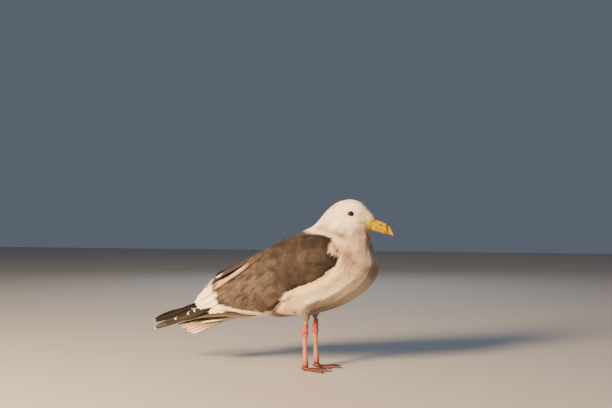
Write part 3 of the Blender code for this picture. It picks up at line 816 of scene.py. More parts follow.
def vane_places(half, along, a):
    """Points on a flat vane: across from the shaft, and along from the root."""
    across = half[..., None] * a
    return np.stack([across, np.broadcast_to(along[..., None], across.shape)], axis=-1)


def root_patches(places, count, rows, columns, spread):
    """Each feather's own small patch round its root's place on the skin's unwrap."""
    a = np.linspace(-0.5, 0.5, columns)[None, None, :, None] * np.array([spread, 0.0])
    t = np.linspace(-0.5, 0.5, rows)[None, :, None, None] * np.array([0.0, spread])
    return places.reshape(count, 1, 1, 2) + a + t


class WingFace:
    """One folded wing's outer face, as depth over the side view, carried on past its rim."""

    STEP = 3.0

    def __init__(self, plumage, sign):
        self.sign = sign
        self.low = np.array([-330.0, 90.0])
        x, z = np.meshgrid(np.arange(self.low[0], 110, self.STEP),
                           np.arange(self.low[1], 356, self.STEP), indexing="ij")
        starts = np.stack([x, np.full_like(x, sign * 150.0), z], axis=-1).reshape(-1, 3)
        points, _, _ = plumage.from_outside(starts, np.tile([0.0, -sign, 0.0],
                                                            (len(starts), 1)))
        depth = (sign * points[:, 1]).reshape(x.shape)
        depth[depth < 3.0] = np.nan
        for _ in range(45):
            around = np.stack([np.roll(depth, shift, axis) for shift, axis in
                               ((1, 0), (-1, 0), (1, 1), (-1, 1))])
            known = ~np.isnan(around)
            total = np.where(known, around, 0.0).sum(axis=0)
            filled = total / np.maximum(known.sum(axis=0), 1)
            depth = np.where(np.isnan(depth) & known.any(axis=0), filled, depth)
        for _ in range(2):
            depth = (depth * 2 + np.roll(depth, 1, 0) + np.roll(depth, -1, 0)
                     + np.roll(depth, 1, 1) + np.roll(depth, -1, 1)) / 6
        self.depth = depth

    def deep(self, x, z):
        """The face's distance from the middle plane over places in the side view."""
        u = np.clip((x - self.low[0]) / self.STEP, 1, self.depth.shape[0] - 2.001)
        v = np.clip((z - self.low[1]) / self.STEP, 1, self.depth.shape[1] - 2.001)
        i, j = u.astype(int), v.astype(int)
        u, v = u - i, v - j
        return ((self.depth[i, j] * (1 - u) + self.depth[i + 1, j] * u) * (1 - v)
                + (self.depth[i, j + 1] * (1 - u) + self.depth[i + 1, j + 1] * u) * v)

    def at(self, x, z):
        """Surface points and outward normals over places in the side view."""
        y = self.deep(x, z)
        slope_x = (self.deep(x + 2.5, z) - self.deep(x - 2.5, z)) / 5.0
        slope_z = (self.deep(x, z + 2.5) - self.deep(x, z - 2.5)) / 5.0
        normals = unit(np.stack([-slope_x, np.ones_like(y), -slope_z], axis=-1))
        flip = np.array([1.0, self.sign, 1.0])
        return np.stack([x, y, z], axis=-1) * flip, normals * flip


def wing_face(sign):
    """Each side's face, worked out once."""
    key = f"face {sign:+.0f}"
    if key not in KEPT:
        KEPT[key] = WingFace(KEPT["plumage"], sign)
    return KEPT[key]


def raised_by(x, z, sign):
    """How much higher the left wing's upper part stands than the right one's."""
    if sign < 0:
        return np.zeros_like(z)
    lift = np.interp(x, LEFT_RAISE[:, 0], LEFT_RAISE[:, 1])
    top = np.interp(x, WING_EDGE[:, 0], WING_EDGE[:, 2])
    middle = np.interp(x, WING_EDGE[:, 0], WING_EDGE[:, 3])
    return np.maximum(lift - 2, 0) * np.clip((z - middle) / (top - middle), 0, 1)


# How a wing feather's webs are lit across it, from its upper edge to its lower one.
WEB_SHADES = np.array([1.0, 0.4, -0.6, -1.1, -1.2])


def face_feathers(name, plumage, face, material, specs, seed, tilt=0.25, streak=0.10,
                  thick=0.18, rows=11, paint_by=None):
    """Long feathers of the folded wing, placed in the side view.

    Each spec is (root x, root z, tip x, tip z, width, bow, root lift, tip lift): bow is
    how far its middle is bent up, lifts are heights over the wing's face. Like roof
    tiles, each lies with its upper edge under its neighbour's lower one. streak is how
    much its colour changes across it."""
    draw = np.random.default_rng(seed)
    specs = np.array(specs, float)
    count = len(specs)
    t = 1 - (1 - np.linspace(0, 1, rows)) ** 1.35
    a = np.linspace(-1, 1, len(WEB_SHADES))
    root, tip = specs[:, 0:2], specs[:, 2:4]
    way = unit(tip - root)
    up = np.stack([way[:, 1], -way[:, 0]], axis=1)
    up = up * np.where(up[:, 1:] < 0, -1.0, 1.0)
    centre = root[:, None] + (tip - root)[:, None] * t[None, :, None]
    centre = centre + (4 * t * (1 - t))[None, :, None] * (specs[:, 5, None] * up)[:, None]
    half = specs[:, 4, None] / 2 * vane_width(t, 0.22)
    flat = centre[:, :, None] + (half[..., None] * a)[..., None] * up[:, None, None]
    x, z = flat[..., 0], flat[..., 1]
    points, normals = face.at(x, z + raised_by(x, z, face.sign))
    lift = specs[:, 6, None] * (1 - t) + specs[:, 7, None] * t
    lift = lift[..., None] - tilt * a + 0.12 * (1 - a ** 2)
    shaped = points + normals * lift[..., None]
    level = np.stack([x, points[..., 1], z], axis=-1)
    colours = markings(level.reshape(-1, 3)).reshape(*level.shape)
    tint = draw.normal(1.0, 0.035, count)
    across = 1.0 + streak * WEB_SHADES
    colours = colours * tint[:, None, None, None] * across[None, None, :, None]
    length = np.linalg.norm(tip - root, axis=1)
    vane = vane_places(half, t * length[:, None], a)
    if paint_by is not None:
        colours = paint_by(colours, level, vane, a)
    _, _, places = plumage.nearest(points[:, rows // 4, len(a) // 2])
    uv = root_patches(places, count, rows, len(a), LONG_PATCH)
    return vane_object(name, shaped, normals, thick, material, colours, uv, vane)


def laid_feathers(name, plumage, material, roots, size, lift, thick, tint_by, fringe,
                  root_shade):
    """Round-tipped feathers that follow the surface, each walked out from its root.

    fringe is how much paler a feather's rim is, root_shade how much darker its root."""
    points, normals, places, draw = roots
    count = len(points)
    t = np.array([0.0, 0.25, 0.5, 0.75, 0.92, 1.0])
    a = np.array([-1.0, 0.0, 1.0])
    rows, columns = len(t), len(a)
    length, width = size(points)
    length = length * draw.uniform(0.88, 1.12, count)
    width = width * draw.uniform(0.9, 1.1, count)
    way = lie(points, normals)
    way = unit(way + np.cross(way, normals) * draw.normal(0, 0.10, count)[:, None])
    half = width[:, None] / 2 * vane_width(t, 0.34)
    grid = np.empty((count, rows, columns, 3))
    faces = np.empty_like(grid)
    spot, face = points.copy(), normals.copy()
    for row in range(rows):
        if row:
            step = (t[row] - t[row - 1]) * length
            spot, face, _ = plumage.nearest(spot + way * step[:, None])
            way = flattened(way, face)
        side = np.cross(way, face)
        for column in range(columns):
            out = side * (half[:, row] * a[column])[:, None]
            grid[:, row, column], faces[:, row, column], _ = plumage.nearest(spot + out)
    rise = -0.5 * (1 - t) ** 2.5 + lift * t
    rise = rise[None, :] * np.ones((count, 1)) + draw.uniform(0, 0.08, (count, 1)) * t
    rise = rise[..., None] + 0.10 * (1 - a ** 2)
    shaped = grid + faces * rise[..., None]
    tint = draw.normal(1.0, tint_by, count)
    hue = draw.normal(0.0, 0.015, count)
    colours = markings(shaped.reshape(-1, 3)).reshape(*shaped.shape)
    colours = colours * (tint[:, None, None] * (1 - 0.04 * (1 - a ** 2)))[..., None]
    colours = colours * np.stack([1 + hue, np.ones(count), 1 - hue], 1)[:, None, None]
    rim = np.maximum(ramp(t, 0.80, 1.0)[:, None], 0.5 * np.abs(a)[None, :] * ramp(
        t, 0.45, 0.8)[:, None])
    colours = colours * (1 + fringe * rim - root_shade * (1 - t)[:, None])[None, ..., None]
    vane = vane_places(half, t * length[:, None], a)
    uv = root_patches(places, count, rows, columns, TUFT_PATCH)
    return vane_object(name, shaped, faces, thick, material, colours, uv, vane)


def walked_along(corners):
    """How far along a line each of its corners lies."""
    steps = np.linalg.norm(np.diff(corners, axis=0), axis=1)
    return np.concatenate([[0], np.cumsum(steps)])


def strap(centres, way, halves, camber):
    """A long vane's face from its centre line, the way across it and its half widths."""
    across = np.tile(unit(np.array(way)), (len(centres), 1))
    a = np.linspace(-1, 1, QUILL_COLUMNS)
    along = np.gradient(centres, axis=0)
    normals = unit(np.cross(along, across))
    normals = normals * (-1 if normals[:, 2].mean() < 0 else 1)
    grid = centres[:, None] + across[:, None] * (halves[:, None] * a)[..., None]
    grid = grid + normals[:, None] * (camber * (1 - a ** 2))[None, :, None]
    flat = vane_places(halves, walked_along(centres), a)
    return grid, np.repeat(normals[:, None], len(a), axis=1), flat


def smooth_line(corners, count, ease):
    """Points along a smooth line through corners, closer together towards its end."""
    corners = np.asarray(corners, float)
    walked = walked_along(corners)
    t = walked / walked[-1]
    wanted = 1 - (1 - np.linspace(0, 1, count)) ** ease
    found = np.stack([np.interp(wanted, t, corners[:, i]) for i in range(3)], axis=1)
    for _ in range(max(2, count // 6)):
        found[1:-1] = (found[:-2] + 2 * found[1:-1] + found[2:]) / 4
    return found, wanted


# ---- Materials --------------------------------------------------------------------------
def add_node(tree, kind, values=None, links=None, **settings):
    """Adds a node, sets its properties and socket values, and links its sockets."""
    made = tree.nodes.new(kind)
    for key, value in settings.items():
        setattr(made, key, value)
    for key, value in (values or {}).items():
        made.inputs[key].default_value = value
    for key, source in (links or {}).items():
        tree.links.new(source, made.inputs[key])
    return made


def new_material(name, roughness, **constants):
    """A material with its shader's constants, such as Sheen_Weight for Sheen Weight."""
    made = bpy.data.materials.new(name)
    made.use_nodes = True
    shader = made.node_tree.nodes["Principled BSDF"]
    shader.inputs["Roughness"].default_value = roughness
    for key, value in constants.items():
        shader.inputs[key.replace("_", " ")].default_value = value
    return made, made.node_tree, shader


def feather_material(name, roughness, barb, contrast, bump, **constants):
    """Vaned feathers: the barbs run out and forward from the shaft, barb mm apart.

    Each web's markings are crossed by its barbs and broken up by finer grain."""
    grain_mm, ridge_mm = 2.5, 0.4
    made, tree, shader = new_material(name, roughness, **constants)
    mark = add_node(tree, "ShaderNodeAttribute", attribute_name="markings")
    vane = add_node(tree, "ShaderNodeUVMap", uv_map="vane")
    parts = add_node(tree, "ShaderNodeSeparateXYZ", links={0: vane.outputs[0]})
    across = add_node(tree, "ShaderNodeMath", operation="ABSOLUTE",
                      links={0: parts.outputs["X"]})
    slope = add_node(tree, "ShaderNodeMath", operation="MULTIPLY_ADD",
                     values={1: -1.1}, links={0: across.outputs[0], 2: parts.outputs["Y"]})
    phase = add_node(tree, "ShaderNodeMath", operation="MULTIPLY",
                     values={1: 2 * math.pi / barb}, links={0: slope.outputs[0]})
    barbs = add_node(tree, "ShaderNodeMath", operation="SINE", links={0: phase.outputs[0]})
    place = add_node(tree, "ShaderNodeTexCoord")
    fine = add_node(tree, "ShaderNodeTexNoise",
                    values={"Scale": 1 / (grain_mm * MM), "Detail": 3.0,
                            "Roughness": 0.6},
                    links={"Vector": place.outputs["Object"]})
    level = add_node(tree, "ShaderNodeMath", operation="MULTIPLY_ADD",
                     values={1: contrast, 2: 1.0}, links={0: barbs.outputs[0]})
    grain = add_node(tree, "ShaderNodeMapRange",
                     values={"From Min": 0.25, "From Max": 0.75, "To Min": 0.94,
                             "To Max": 1.06}, links={"Value": fine.outputs["Fac"]})
    both = add_node(tree, "ShaderNodeMath", operation="MULTIPLY",
                    links={0: level.outputs[0], 1: grain.outputs[0]})
    tinted = add_node(tree, "ShaderNodeVectorMath", operation="SCALE",
                      links={0: mark.outputs["Color"], "Scale": both.outputs[0]})
    tree.links.new(tinted.outputs[0], shader.inputs["Base Color"])
    raised = add_node(tree, "ShaderNodeBump",
                      values={"Strength": bump, "Distance": ridge_mm * MM},
                      links={"Height": barbs.outputs[0]})
    tree.links.new(raised.outputs[0], shader.inputs["Normal"])
    return made


def grained_material(name, roughness, grain_mm, low, high, bump, deep=0.3, **constants):
    """Skin or grown horn: markings under fine grain of a stated size, deep mm high."""
    made, tree, shader = new_material(name, roughness, **constants)
    mark = add_node(tree, "ShaderNodeAttribute", attribute_name="markings")
    place = add_node(tree, "ShaderNodeTexCoord")
    grain = add_node(tree, "ShaderNodeTexNoise",
                     values={"Scale": 1 / (grain_mm * MM), "Detail": 4.0},
                     links={"Vector": place.outputs["Object"]})
    level = add_node(tree, "ShaderNodeMapRange",
                     values={"From Min": 0.3, "From Max": 0.7, "To Min": low,
                             "To Max": high}, links={"Value": grain.outputs["Fac"]})
    tinted = add_node(tree, "ShaderNodeVectorMath", operation="SCALE",
                      links={0: mark.outputs["Color"], "Scale": level.outputs[0]})
    tree.links.new(tinted.outputs[0], shader.inputs["Base Color"])
    raised = add_node(tree, "ShaderNodeBump", values={"Strength": bump, "Distance": deep * MM},
                      links={"Height": grain.outputs["Fac"]})
    tree.links.new(raised.outputs[0], shader.inputs["Normal"])
    return made


def coat_material():
    """Body feathers, whose barbs are hardly hooked together."""
    # Their loose edges scatter the light: soft and dull, with a faint bloom at grazing
    # angles.
    name = "white contour feathers"
    return bpy.data.materials.get(name) or feather_material(
        name, 0.8, 0.9, 0.015, 0.12, Sheen_Weight=0.15, Sheen_Roughness=0.6,
        Specular_IOR_Level=0.25)


def mantle_material():
    """Feathers of the back and folded wing, grown as firm vanes."""
    # Their flat webs have a slight silky gloss. Barbs are drawn 0.9 mm apart, a little
    # coarser than real ones, so that they show.
    name = "grey mantle feathers"
    return bpy.data.materials.get(name) or feather_material(
        name, 0.62, 0.9, 0.03, 0.15, Sheen_Weight=0.02, Specular_IOR_Level=0.14)


def quill_material():
    """Flight feathers, whose barbs are tightly hooked together."""
    # Stiff and close, they are the smoothest and glossiest feathers.
    name = "stiff flight quills"
    return bpy.data.materials.get(name) or feather_material(
        name, 0.5, 1.1, 0.05, 0.2, Specular_IOR_Level=0.4)


# ---- Operators --------------------------------------------------------------------------
def colour_property(name, description, code):
    """A colour that a user can change."""
    return bpy.props.FloatVectorProperty(name=name, description=description, min=0, max=1,
                                         default=tuple(linear(code)), subtype="COLOR")


class GullLooks(bpy.types.PropertyGroup):
    """Colours and sizes that a user would change."""
    white: colour_property("White plumage", "Head, breast, belly and tail", "#F8E3C5")
    grey: colour_property("Grey plumage", "Back and folded wings", "#3C322C")
    quill: colour_property("Wing tip", "Dark outer primaries", "#29231D")
    bill: colour_property("Bill", "Yellow of the bill", "#A28400")
    leg: colour_property("Legs", "Pink of the legs, between their redder joints", "#B67959")
    skin_voxel: bpy.props.FloatProperty(
        name="Skin detail", description="Size of the skin's faces", default=0.0018,
        min=0.001, max=0.01, unit="LENGTH")
    lens: bpy.props.FloatProperty(
        name="Lens", description="Focal length of the camera's lens in millimetres",
        default=50.0, min=10, max=200, unit="CAMERA")


class GullSkin(bpy.types.Operator):
    """One skin under head, neck, trunk, rump, thighs and wings, in by the coat's depth"""
    bl_idname = "object.gull_skin"
    bl_label = "Skin"

    def execute(self, context):
        skin, points = melted("bird_skin", SKIN_NODES,
                              context.scene.gull_looks.skin_voxel / MM, 10, grow=0.25)
        mesh = skin.data
        puffed = points + normals_of(mesh) * flank_puff(points)[:, None]
        move_points(mesh, narrow_face(short_thighs(puffed)))
        select_only(skin)
        bpy.ops.object.mode_set(mode="EDIT")
        bpy.ops.mesh.select_all(action="SELECT")
        bpy.ops.uv.smart_project(angle_limit=math.radians(66), island_margin=0.002)
        bpy.ops.object.mode_set(mode="OBJECT")
        mesh.uv_layers[0].name = "OFBake"
        KEPT["plumage"] = Plumage(mesh)
        points = KEPT["plumage"].points
        inner = points - KEPT["plumage"].normals * coat_depth(points)[:, None]
        move_points(mesh, self.lids(inner))
        # Skin under down: dull and soft, a little darker than the feathers that hide it.
        down = grained_material("down over skin", 0.85, 1.8, 0.82, 0.98, 0.6, deep=0.6)
        dress(skin, markings(points), down, SKIN_NODES)
        return {"FINISHED"}

    @staticmethod
    def lids(points):
        """Drapes the skin round each eyeball and tucks it in behind the opening."""
        shaped = points.copy()
        away = eye_oval(points)
        near = (away < EYE_RADIUS + 2.5) & (np.abs(points[:, 1]) > HEAD_CORE)
        over = np.sqrt(np.clip((EYE_RADIUS + 0.45) ** 2 - away ** 2, 0, None))
        inside = np.sqrt(np.clip((EYE_RADIUS - 0.9) ** 2 - away ** 2, 0, None))
        lid = EYE_AT[1] + np.where(away > 5.4, over, inside)
        share = 1 - ramp(away, EYE_RADIUS - 0.8, EYE_RADIUS + 2.2)
        target = np.abs(points[:, 1]) * (1 - share) + lid * share
        shaped[near, 1] = (np.sign(points[:, 1]) * target)[near]
        return shaped


class GullCoat(bpy.types.Operator):
    """Small white feathers of the head, neck, breast, belly, rump and thighs"""
    bl_idname = "object.gull_coat"
    bl_label = "White coat"

    def execute(self, context):
        plumage = KEPT["plumage"]
        for seed, (name, wanted, spacing) in enumerate(self.tracts(plumage)):
            obj = tufts(name, plumage, coat_material(), wanted, spacing, 100 + seed)
            finish_piece(obj)
        for side, sign in SIDES.items():
            obj = face_feathers(f"flank_feathers_{side}", plumage, wing_face(sign),
                                coat_material(), flank_specs(), 141, tilt=0.08,
                                paint_by=flank_white)
            finish_piece(obj)
        return {"FINISHED"}

    @staticmethod
    def tracts(plumage):
        """Each tract of the coat: its name, its triangles and its roots' spacing."""
        centre = plumage.centres
        x, y, z = centre.T
        away = np.linalg.norm(centre - BILL_ROOT, axis=1)
        # No tuft grows where the flank's long feathers or the wing's hide it.
        hidden = (under_cover(centre) > -5) & (x > -75) & (x < 50) & (z > 133) & (z < 222)
        white = (under_cover(centre) < 2.5) & ~hidden
        # No tuft grows or reaches over the eye's opening or the gape's bare skin.
        tips = centre + lie(centre, plumage.facing) * 1.1 * tuft_size(centre)[0][:, None]
        clear = (eye_distance(centre) > 6.6) & (eye_distance((centre + tips) / 2) > 6.4) & (
            eye_distance(tips) > 6.2) & (gape_share(centre) < -0.4)
        thigh = (z < 138) & (np.abs(x) < 20) & (np.abs(y) < 40)
        body = white & (away >= 140) & ~thigh
        return (("face_feathers", clear & (away < 36), 0.85),
                ("head_feathers", clear & (away >= 36) & (away < 88), 1.35),
                ("neck_feathers", white & (away >= 88) & (away < 140), 2.0),
                ("breast_feathers", body & (x >= 20), 2.5),
                ("belly_feathers", body & (x < 20) & (x >= -95), 2.7),
                ("rump_feathers", white & (x < -95), 2.7),
                ("thigh_feathers", thigh, 1.7))


def slanted(tip_x, tip_z, length, angle):
    """A root's place in the side view, up and ahead of its tip."""
    turn = math.radians(angle)
    return tip_x + length * math.cos(turn), tip_z + length * math.sin(turn)


def flank_specs():
    """Long feathers that lie back from the breast over the folded wing's front edge."""
    specs = []
    for inward, length in ((12.0, 38.0), (5.0, 36.0), (0.0, 34.0)):
        for i, (x, z) in enumerate(FLANK_TIPS):
            angle = np.interp(x, [-68, -40, -20, 16, 51], [9, 6, 9, 17, 36])
            turn = math.radians(angle) - 0.5
            tip = (x + inward * math.cos(turn) + 1.5 * (i % 2),
                   z + inward * math.sin(turn))
            root = slanted(*tip, length, angle)
            specs.append((*root, *tip, 13.5, -1.2, -0.7, 1.9 - 0.03 * inward))
    return specs


# Each paint_by function below takes a row of feathers' colours, the places in the bird
# where they are read, their flat vane places and the columns' shares across a vane.
def flank_white(colours, level, vane, a):
    """White plumes, a shade darker in their webs' middle."""
    white = look("white")
    mottle = cloudy(level.reshape(-1, 3), 5.0).reshape(level.shape[:-1])
    cream = white * np.array([0.96, 0.84, 0.68])
    return cream * ((0.84 + 0.16 * mottle) * (0.92 + 0.08 * np.abs(a)))[..., None]


def secondary_specs():
    """Secondaries: their white tips make the wing's lower edge."""
    specs = []
    for i in range(15):
        share = i / 14
        tip = (-90 - 134 * share, 126.5 - 1.5 * share)
        root = slanted(*tip, 74, 43 - 6 * share)
        specs.append((*root, *tip, 15.5, 2.0, -0.7, 0.30 + 0.02 * i))
    return specs


def covert_row(count, first, last, length, width, low, high, steep=43.0):
    """A row of wing coverts between its first and last tips, unevenly worn."""
    specs = []
    for i in range(count):
        share = i / (count - 1)
        angle = steep - 7 * share
        worn = 1.5 * ((i * 37) % 11 - 5)
        tip = slanted(first[0] + (last[0] - first[0]) * share,
                      first[1] + (last[1] - first[1]) * share, worn, angle)
        root = slanted(*tip, length, angle)
        specs.append((*root, *tip, width, 1.5, low, high))
    return specs


def plume_specs(shorter, first):
    """Narrow, loose white plumes over the tertials' ends, that fray the wing's rear."""
    specs = []
    for i, (x, z) in list(enumerate(PLUME_TIPS))[first:]:
        angle = 31 - 0.9 * i
        tip = slanted(x, z, shorter, angle)
        root = slanted(*tip, 40 + 9 * ((i * 5) % 4) / 3, angle)
        specs.append((*root, *tip, 7.0 + 1.5 * (i % 2), 1.0, -1.2, 2.1 - 0.06 * i))
    return specs


def plume_white(colours, level, vane, a):
    """White from the tip up, each plume to its own length."""
    count = len(colours)
    reach = 24 + 10 * ((np.arange(count) * 7) % 5) / 4
    from_tip = vane[:, -1:, :1, 1] - vane[..., 1]
    share = 1 - ramp(from_tip - reach[:, None, None] + 4 * np.abs(a), -3, 5)
    return mix(colours, look("white"), share)


def sunlit_edge(colours, level, vane, a):
    """The uppermost tertial's outer web, pale: partly its own worn edge, partly painted light
    where it faces the light.
    """
    x = level[..., 0]
    reach = ramp(-x, 132, 150) * (1 - ramp(-x, 208, 225))
    web = np.broadcast_to(ramp(a, -0.9, -0.4)[None, None, :], x.shape)
    return towards(colours, "#CEAD8B", 0.88 * reach * web)


PAINTED_SHADE_TINT = np.array([0.68, 0.80, 1.0])     # painted shade: a cooler, darker tint for feathers that lie in shade


def shaded_edge(colours, level, vane, a):
    """Painted shade: the other wing's uppermost tertial tinted cooler and darker over most of
    its width.
    """
    web = np.broadcast_to(ramp(a, -0.6, 0.2)[None, None, :], level.shape[:-1])
    return mix(colours, colours * PAINTED_SHADE_TINT, web)


class GullWings(bpy.types.Operator):
    """Grey feathers of the back and folded wings, with white-tipped flight feathers"""
    bl_idname = "object.gull_wings"
    bl_label = "Grey wings"

    def execute(self, context):
        plumage = KEPT["plumage"]
        centre = plumage.centres
        grey = on_wing_or_back(centre) > -2.0
        silk = mantle_material()
        for side, sign in SIDES.items():
            wanted = grey & (centre[:, 1] * sign >= 0)
            roots = spread_roots(plumage, wanted, self.spacing, 7)
            obj = laid_feathers(f"mantle_feathers_{side}", plumage, silk, roots,
                                self.size, lift=0.10, thick=0.10, tint_by=0.08,
                                fringe=0.12, root_shade=0.10)
            finish_piece(obj)
            upper = wanted & (on_wing_or_back(centre) > 12) & (centre[:, 0] > -95) & (
                np.abs(centre[:, 1]) > 10)
            roots = spread_roots(plumage, upper, self.wide_spacing, 17)
            obj = laid_feathers(f"scapulars_{side}", plumage, silk, roots, self.wide_size,
                                lift=0.55, thick=0.14, tint_by=0.11, fringe=0.20,
                                root_shade=0.22)
            finish_piece(obj)
            face = wing_face(sign)
            rows = (
                ("secondaries", secondary_specs(), {"streak": 0.30}),
                ("greater_coverts",
                 covert_row(16, (-78, 145), (-213, 149), 66, 13.0, -0.5, 0.55),
                 {"streak": 0.42}),
                ("long_scapulars",
                 covert_row(15, (-80, 170), (-206, 168), 66, 13.5, -0.5, 0.75),
                 {"streak": 0.42}),
                ("upper_scapulars",
                 covert_row(13, (-94, 200), (-202, 183), 64, 13.5, -0.5, 0.95, 40.0),
                 {"streak": 0.42}),
                ("tertials", TERTIALS, {"rows": 17, "streak": 0.38}),
                ("edge_tertial", [EDGE_TERTIALS[side]], {
                    "rows": 21, "paint_by": sunlit_edge if sign < 0 else shaded_edge}),
                ("rear_plumes", plume_specs(0.0, 0) if sign < 0 else plume_specs(6.0, 3),
                 {"paint_by": plume_white, "tilt": 0.1, "thick": 0.14}))
            for number, (name, specs, more) in enumerate(rows):
                obj = face_feathers(f"{name}_{side}", plumage, face, silk, specs,
                                    50 + number, **more)
                finish_piece(obj)
            obj = self.inner_tertials(f"inner_tertials_{side}", plumage, silk, sign)
            finish_piece(obj)
        return {"FINISHED"}

    @staticmethod
    def spacing(points):
        """How far apart the small mantle feathers grow: closest at the front."""
        return 4.6 + 3.4 * ramp(-points[:, 0], -55, 120)

    @staticmethod
    def size(points):
        """The small mantle feathers' length and width."""
        back = ramp(-points[:, 0], -55, 120)
        return 13 + 12 * back, 9.5 + 7.0 * back

    @staticmethod
    def wide_spacing(points):
        """How far apart the scapulars grow."""
        return 10.0 + 3.0 * ramp(-points[:, 0], -40, 60)

    @staticmethod
    def wide_size(points):
        """The scapulars' length and width."""
        back = ramp(-points[:, 0], -40, 60)
        return 22 + 9 * back, 17 + 5 * back

    @staticmethod
    def inner_tertials(name, plumage, material, sign):
        """Three broad feathers that hang in over the rump from the wing's upper edge."""
        rows = 21
        straps = []
        for k in range(3):
            tilt = math.radians(38 - 9 * k)
            half = 14.0 + 1.5 * k
            corners = []
            for x, y, z in WING_EDGE[::-1, :3]:
                if x < -262 + 11 * k:
                    continue
                rise = np.interp(x, LEFT_RAISE[:, 0], LEFT_RAISE[:, 1]) if sign > 0 else 0
                corners.append((x, sign * (y + 2.0 - 0.8 * k - half * math.cos(tilt)),
                                z + rise + 1.0 - 1.5 * k - half * math.sin(tilt)))
            line, t = smooth_line(corners, rows, 1.3)
            way = (0.0, -sign * math.cos(tilt), -math.sin(tilt))
            straps.append(strap(line, way, half * vane_width(t, 0.18), 0.8))
        grids, faces, flats = (np.array(part) for part in zip(*straps))
        length = flats[:, -1:, :1, 1:2]
        # Painted shade: the grey tinted cooler and darker, then lifted a little.
        colours = np.tile(look("grey") * PAINTED_SHADE_TINT, (*grids.shape[:3], 1))
        colours = colours * np.array([1.5, 1.4, 1.6])[:, None, None, None]
        tip = ramp(flats[..., 1] / length[..., 0], 0.90, 0.95)
        colours = mix(colours, look("white"), tip)
        _, _, places = plumage.nearest(grids[:, rows // 4, QUILL_COLUMNS // 2])
        uv = root_patches(places, len(grids), rows, QUILL_COLUMNS, LONG_PATCH)
        return vane_object(name, grids, faces, 0.3, material, colours, uv, flats)


def principal_blade(node):
    """A blade node's points, their middle, its length and width ways, and how far along
    it each point lies."""
    points = points_of(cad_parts[node].data)
    middle = points.mean(axis=0)
    _, _, ways = np.linalg.svd(points - middle, full_matrices=False)
    length_way = ways[0] * (-1 if ways[0][0] > 0 else 1)
    width_way = ways[1]
    along = (points - middle) @ length_way
    return points, middle, length_way, width_way, along


def blade_grid(node, camber, blunt):
    """A feather's upper face fitted to a blade node: its grid, normals and flat places,
    its rows' shares of its length, and its length."""
    points, middle, length_way, width_way, along = principal_blade(node)
    start, end = along.min(), along.max()
    across = (points - middle) @ width_way
    t = 1 - (1 - np.linspace(0, 1, QUILL_ROWS)) ** 1.6
    length = end - start
    half = (across.max() - across.min()) / 2 * vane_width(t, blunt)
    half[-1] = half[-2] * 0.35
    line_slope = np.polyfit(along, across, 1)
    centre = middle + np.outer(start + t * length, length_way)
    centre = centre + np.outer(np.polyval(line_slope, start + t * length), width_way)
    up = np.cross(length_way, width_way)
    up = up * (-1 if up[2] < 0 else 1)
    a = np.linspace(-1, 1, QUILL_COLUMNS)
    rise = camber * (1 - a ** 2)
    grid = centre[:, None] + (half[:, None] * a)[..., None] * width_way
    grid = grid + rise[None, :, None] * up
    normals = np.tile(up, (QUILL_ROWS, QUILL_COLUMNS, 1))
    flat = vane_places(half, t * length, a)
    if np.dot(np.cross(width_way, length_way), up) < 0:
        grid, flat = grid[:, ::-1], flat[:, ::-1]
    return grid, normals, flat, t, length


